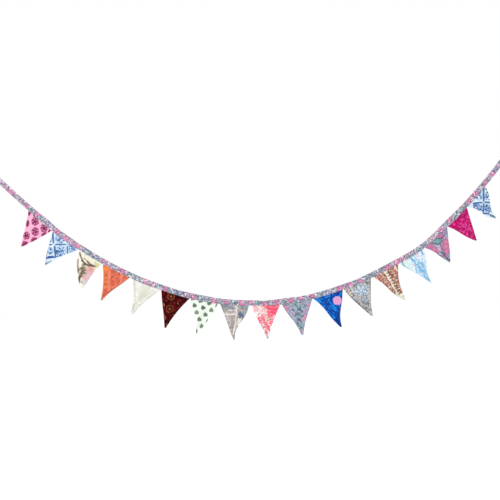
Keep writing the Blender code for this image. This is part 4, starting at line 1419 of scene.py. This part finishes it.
def print_sky_frond(d):
    """White with sky blue fronds, faint mint leaves and lilac buds."""
    c = Cloth("sky_frond_cotton", d.sky_ground, 0.6)
    c.mottle(d.sky_mint, (409, 267, 9), 0.28, 0.4, 2, 0.9, 0.06)
    c.mottle(d.sky_pale, (420, 266, 14), 0.3, 0.42, 6, 0.9, 0.06)
    c.bloom(d.sky_pale, (421.4, 268, 6, 0.3), 5, 0.25, 0.9, soft=0.6)
    c.bloom(d.sky_pale, (426.4, 277, 4.4, 0.3), 5, 0.25, 0.95, soft=0.6)
    c.mottle(d.sky_frond, (424, 271, 9), 0.42, 0.5, 5, 0.75, 0.03)
    c.mottle(d.sky_ground, (420, 268, 14), 0.45, 0.56, 9, 0.95, 0.03)
    c.mottle(d.sky_deep, (421, 268, 12), 0.6, 0.58, 7, 0.6, 0.03)
    c.leaf(d.sky_mint, (402.6, 263, 413, 273.4, 1.9), 0.9, rib=d.sky_frond)
    c.leaf(d.sky_mint, (406.4, 261.2, 415, 270.4, 1.4), 0.8, rib=d.sky_frond)
    c.mottle(d.sky_ground, (408, 264, 9), 0.36, 0.53, 3, 0.8, 0.04)
    c.leaf(d.sky_lilac, (414.2, 250.6, 418.6, 258, 1.9), 0.7)
    c.leaf(d.sky_lilac, (412.8, 263.4, 418, 266.8, 1.2), 0.85)
    c.dot(d.sky_lilac, (411.4, 264.8, 0.8), 0.7)
    c.leaf(d.sky_frond, (
        (406.8, 254.2, 415.6, 262.8, 1.6), (413.2, 260.2, 421.8, 269, 1.8), (420, 267.2, 426, 276.4, 1.7),
        (424.2, 273.6, 431, 281.8, 2.3), (413.6, 263.6, 425, 262.4, 1.1), (418.2, 264.4, 416.8, 273, 1.2),
        (420.2, 265.6, 418.9, 274, 0.9), (424.4, 262.8, 424.8, 273.2, 1), (416, 267.8, 424, 272.6, 1.2),
        (410.2, 259.2, 417.4, 260.6, 0.9), (421.6, 272.6, 427.4, 273.8, 0.9),
    ), 0.85, rib=d.sky_ground)
    c.stroke(d.sky_deep, (
        (406.6, 255, 414, 261.4, 0.75), (426, 276.4, 431, 281.6, 0.7), (420, 246.8, 422.8, 254.4, 1.05),
        (418.4, 250.6, 421.4, 247.6, 0.7), (401, 260, 404.2, 265.8, 0.85),
        (414.6, 262.4, 420.4, 267.6, 0.45), (422, 269.8, 424.8, 274, 0.5),
    ), 0.8)
    c.stroke(d.sky_frond, (402.6, 264.2, 409, 268.6, 0.7), 0.7)
    c.mottle(d.sky_ground, (420, 268, 14), 0.5, 0.62, 9, 0.8, 0.03)
    c.stroke(d.sky_frond, (
        (408, 254.6, 415, 261.4, 0.7), (415, 261.4, 419.4, 267.4, 0.8), (419.4, 267.4, 424.4, 275.4, 0.8),
        (424.4, 275.4, 431, 282, 0.9), (412.6, 255.4, 420.4, 262.6, 0.6), (420.4, 262.6, 425.4, 270.4, 0.8),
        (425.4, 270.4, 428.6, 278.4, 0.8), (419.4, 267.4, 425, 263.4, 0.6), (422, 271.6, 427, 271, 0.6),
        (415, 261.4, 416.4, 271.4, 0.6),
    ), 0.85)
    for x, y, size in (
        (416.6, 262.6, 1.1), (420.4, 265.4, 1), (422.6, 268.4, 1), (423.6, 273.4, 0.9), (426.2, 275.6, 0.9),
        (417.6, 269, 1.1), (413, 265.6, 0.9), (426, 267.6, 0.7),
    ):
        row = (x - size, y - size * 1.3, x + size, y + size * 1.3, size * 0.6)
        c.leaf(d.sky_ground, row, 0.95, rib=d.sky_frond)
    c.finish_and_shade(left=0.05, right=0.06)


def print_magenta_scroll(d):
    """Magenta with tone on tone scrolls and lighter flower patches."""
    c = Cloth("magenta_scroll_cotton", d.magenta_ground, 0.8)
    c.scroll(d.magenta_light, 0.15, 28, 0.5, 4, 0.65, 0.2)
    c.scroll(d.magenta_dark, 0.13, 30, 0.2, 9, 0.9, 0.2)
    c.mottle(d.magenta_light, (463, 222, 22), 0.42, 0.56, 5, 0.75, 0.03)
    c.mottle(d.magenta_dark, (461, 224, 24), 0.46, 0.55, 3, 0.9, 0.03)
    c.bloom(d.magenta_ground, (454, 224.4, 4.6, 0.3), 5, 0.2, 0.85)
    c.rosette(d.magenta_dark, (454, 224.4, 2.7, 0.3), 8, 0.95, 0.9)
    c.bloom(d.magenta_light, (454, 224.4, 1.3, 0.3), 5, 0.35, 0.7)
    c.bloom(d.magenta_light, (
        (464.8, 225.4, 3), (469.2, 228.6, 2.5), (461.4, 219.4, 1.9), (467.2, 216.6, 1.9), (472, 234.4, 1.9),
        (460.6, 230.2, 1.5),
    ), 5, 0.36, 0.7, rim=d.magenta_dark, core=d.magenta_dark)
    c.leaf(d.magenta_dark, (
        (456.6, 219.6, 463.6, 215.8, 1.3), (466.6, 230.6, 473.4, 235, 1.3), (459.4, 227, 464.8, 231.6, 1.1),
        (465.2, 209.4, 467.8, 215.6, 1.2), (466, 221, 471, 224.6, 1),
    ), 0.85, rib=d.magenta_light)
    c.finish_and_shade(left=0.06, right=0.14, wear=0.03, sheen=0, gloss=0.12)


def make_thread(d):
    """Spun thread: a fine twist along it, with painted shade: lighter where its bump rises, darker in the
    dips.
    """
    material = fresh(bpy.data.materials, "stitching_thread")
    material.use_nodes = True
    s = Sketch(material.node_tree)
    tone, _ = s.noise(Wire(s, s.add("ShaderNodeTexCoord").outputs["Object"]), 2600.0)
    colour = tuple(d.stitch_thread) * (0.72 + tone * 0.5)
    s.shade({"Base Color": colour, "Roughness": 0.45 + tone * 0.3, "Sheen Weight": 0.2}, tone, 0.00005)


PRINTS = (
    print_binding_strip, print_binding_floral, print_pink_petal, print_blue_tile, print_cream_blossom,
    print_coral, print_ivory_leaf, print_maroon_ring, print_white_heart, print_grey_lattice, print_coral_rose,
    print_royal_paisley, print_grey_flower, print_red_ornament, print_sky_frond, print_magenta_scroll,
)


def length(name, description, default, low, high):
    """A size in metres for the panel."""
    return FloatProperty(
        name=name, description=description, default=default, min=low, max=high, precision=5,
        subtype="DISTANCE", unit="LENGTH",
    )


def number(name, description, default, high, low=0.0):
    """A plain number for the panel."""
    return FloatProperty(name=name, description=description, default=default, min=low, max=high)


class BuntingSizes(bpy.types.PropertyGroup):
    """Sizes of the cloth, the seams and the stitching, and of the stage."""

    pennant_columns: IntProperty(
        name="Pennant columns", description="Cells across one face of a pennant", default=54, min=12, max=96
    )
    pennant_rows: IntProperty(
        name="Pennant rows", description="Cells down one face of a pennant", default=64, min=16, max=110
    )
    cloth_half: length("Cloth half thickness", "Half the thickness of a pennant's two faces together",
                       0.00038, 0.0002, 0.0008)
    allowance_half: length("Seam allowance", "What the turned allowance adds to half the thickness",
                           0.00022, 0.0, 0.0006)
    seam_allowance: length("Allowance width", "Width of the turned allowance inside the sewn sides",
                           0.0062, 0.003, 0.012)
    rolled_edge: length("Rolled edge", "Width over which a sewn side rolls round to the other face",
                        0.0009, 0.0003, 0.002)
    fold_depth: length("Fold depth", "Depth of the soft folds in the pennants", 0.0013, 0.0, 0.003)
    binding_step: length("Binding step", "Distance between stations along the binding", 0.0038, 0.002, 0.02)
    stitch_rise: length("Stitch rise", "Height of the stitching above the lower fold", 0.0022, 0.001, 0.006)
    stitch_length: length("Stitch length", "Length of one stitch", 0.0022, 0.001, 0.005)
    stitch_gap: length("Stitch gap", "Gap between two stitches", 0.0007, 0.0002, 0.003)
    thread_half: length("Thread half thickness", "Half the thickness of the thread", 0.00017, 0.0001, 0.0005)
    floor_level: length("Floor level", "Height of the studio floor", -2.1, -6.0, -1.0)
    camera_distance: length("Camera distance", "Distance from the camera to the bunting", 4.722, 2.0, 12.0)
    camera_lens: number("Camera lens", "Focal length of the camera in millimetres", 85.0, 200.0, low=20.0)
    key_power: number("Soft box power", "Power of the left soft box in watts", 620.0, 2000.0)
    sky_level: number("Room light", "Strength of the even light of the white room", 1.0, 3.0)


def sizes():
    return bpy.context.scene.bunting_sizes


def dyes():
    return bpy.context.scene.bunting_dyes


class BUNTING_OT_cloths(bpy.types.Operator):
    """Builds the node groups, the fifteen printed cottons and the thread"""

    bl_idname = "bunting.cloths"
    bl_label = "Print the cloths"

    def execute(self, context):
        for build in PRINT_GROUPS:
            build()
        for build in PRINTS:
            build(dyes())
        make_thread(dyes())
        return {"FINISHED"}


class BUNTING_OT_binding(bpy.types.Operator):
    """Folds the binding strip along the bow"""

    bl_idname = "bunting.binding"
    bl_label = "Fold the binding"

    def execute(self, context):
        fold_binding(sizes())
        return {"FINISHED"}


class BUNTING_OT_pennants(bpy.types.Operator):
    """Sews the seventeen pennants"""

    bl_idname = "bunting.pennants"
    bl_label = "Sew the pennants"

    def execute(self, context):
        for number, row in enumerate(PENNANTS):
            sew_pennant(number, row, sizes())
        return {"FINISHED"}


class BUNTING_OT_stitches(bpy.types.Operator):
    """Stitches the pennants into the binding"""

    bl_idname = "bunting.stitches"
    bl_label = "Stitch the binding"

    def execute(self, context):
        stitch_row(sizes())
        return {"FINISHED"}


# The stage, in metres: what the lights and the camera face, the floor's rings and the soft boxes
VIEW_MIDDLE = (1.024, 0.0, -0.2964)
FLOOR_RINGS = (0.4, 1.5, 4.0, 9.0, 16.0, 26.0)
FLOOR_SPOKES = 64
BOX_SIZE = 3.0
FILL_SHARE = 0.12


def stage_material():
    """White studio paper with a faint grain, bright enough to show as plain white."""
    material = fresh(bpy.data.materials, "studio_white")
    material.use_nodes = True
    s = Sketch(material.node_tree)
    tone, _ = s.noise(Wire(s, s.add("ShaderNodeTexCoord").outputs["Object"]), 40.0)
    s.shade({
        "Base Color": (0.9, 0.9, 0.9) * (0.98 + tone * 0.04), "Roughness": 0.95,
        "Emission Color": (1.0, 1.0, 1.0, 1.0), "Emission Strength": 0.3,
    }, tone, 0.0001)
    return material


def soft_box(name, place, power):
    """A square soft light that faces the middle of the view."""
    lamp = bpy.data.lights.new(name, "AREA")
    lamp.shape = "SQUARE"
    lamp.size = BOX_SIZE
    lamp.energy = power
    lamp_object = bpy.data.objects.new(name, lamp)
    bpy.context.scene.collection.objects.link(lamp_object)
    lamp_object.location = place
    away = np.array(VIEW_MIDDLE) - np.array(place)
    lamp_object.rotation_euler = (
        math.acos(-away[2] / np.linalg.norm(away)),
        0.0,
        math.atan2(away[0], -away[1]) + math.pi,
    )


def lay_floor():
    """Adds a round floor: rings of points about the view's middle, closed by a fan at the innermost ring."""
    turn = np.linspace(0.0, 2 * math.pi, FLOOR_SPOKES, endpoint=False)
    around = np.stack([np.cos(turn), np.sin(turn)], axis=-1)
    rings = np.array(FLOOR_RINGS)[:, None, None] * around
    points = np.concatenate([rings.reshape(-1, 2), [[0.0, 0.0]]])
    points = np.column_stack([
        points[:, 0] + VIEW_MIDDLE[0], points[:, 1], np.full(len(points), sizes().floor_level),
    ])
    index = np.arange(rings[..., 0].size).reshape(rings.shape[:2])
    wrapped = np.concatenate([index, index[:, :1]], axis=1)
    fan = [[index.size, int(a), int(b)] for a, b in zip(wrapped[0, :-1], wrapped[0, 1:])]
    floor = add_piece("studio_floor", points, grid_quads(wrapped).tolist() + fan, points[:, :2], None)
    floor.data.materials.append(stage_material())


class BUNTING_OT_stage(bpy.types.Operator):
    """Sets the floor, the soft light and the camera"""

    bl_idname = "bunting.stage"
    bl_label = "Set the stage"

    def execute(self, context):
        scene = context.scene
        lay_floor()
        world = bpy.data.worlds.new("white room")
        scene.world = world
        world.use_nodes = True
        background = world.node_tree.nodes["Background"]
        background.inputs["Color"].default_value = (1.0, 1.0, 1.0, 1.0)
        background.inputs["Strength"].default_value = sizes().sky_level
        scene.view_settings.view_transform = "Standard"
        scene.view_settings.look = "None"
        scene.view_settings.exposure = 0.0
        scene.view_settings.gamma = 1.0
        soft_box("left soft box", (-6.5, -4.2, 4.2), sizes().key_power)
        soft_box("right soft box", (6.2, -5.6, 1.4), sizes().key_power * FILL_SHARE)

        lens = bpy.data.cameras.new("front camera")
        lens.lens = sizes().camera_lens
        lens.sensor_width = 36.0
        lens.sensor_fit = "HORIZONTAL"
        camera = bpy.data.objects.new("front camera", lens)
        scene.collection.objects.link(camera)
        camera.location = (VIEW_MIDDLE[0], -sizes().camera_distance, VIEW_MIDDLE[2])
        camera.rotation_euler = (math.pi / 2, 0.0, 0.0)
        scene.camera = camera
        return {"FINISHED"}


class BUNTING_PT_panel(bpy.types.Panel):
    """Sizes and dyes of the bunting, with a button for each step of its making"""

    bl_label = "Bunting"
    bl_idname = "BUNTING_PT_panel"
    bl_space_type = "VIEW_3D"
    bl_region_type = "UI"
    bl_category = "Bunting"

    def draw(self, context):
        layout = self.layout
        for step in STEPS:
            layout.operator(step.bl_idname)
        for title, group in (("Sizes", sizes()), ("Dyes", dyes())):
            layout.label(text=title)
            column = layout.column(align=True)
            for name in group.__annotations__:
                column.prop(group, name)


STEPS = (BUNTING_OT_cloths, BUNTING_OT_binding, BUNTING_OT_pennants, BUNTING_OT_stitches, BUNTING_OT_stage)
CLASSES = (BuntingSizes, BuntingDyes) + STEPS + (BUNTING_PT_panel,)


def register():
    for kind in CLASSES:
        bpy.utils.register_class(kind)
    bpy.types.Scene.bunting_sizes = PointerProperty(type=BuntingSizes)
    bpy.types.Scene.bunting_dyes = PointerProperty(type=BuntingDyes)


def unregister():
    del bpy.types.Scene.bunting_dyes
    del bpy.types.Scene.bunting_sizes
    for kind in reversed(CLASSES):
        bpy.utils.unregister_class(kind)


def main():
    """Makes the whole bunting and its stage."""
    register()
    bpy.ops.bunting.cloths()
    bpy.ops.bunting.binding()
    bpy.ops.bunting.pennants()
    bpy.ops.bunting.stitches()
    bpy.ops.bunting.stage()
    bpy.context.view_layer.update()


if __name__ == "__main__":
    main()
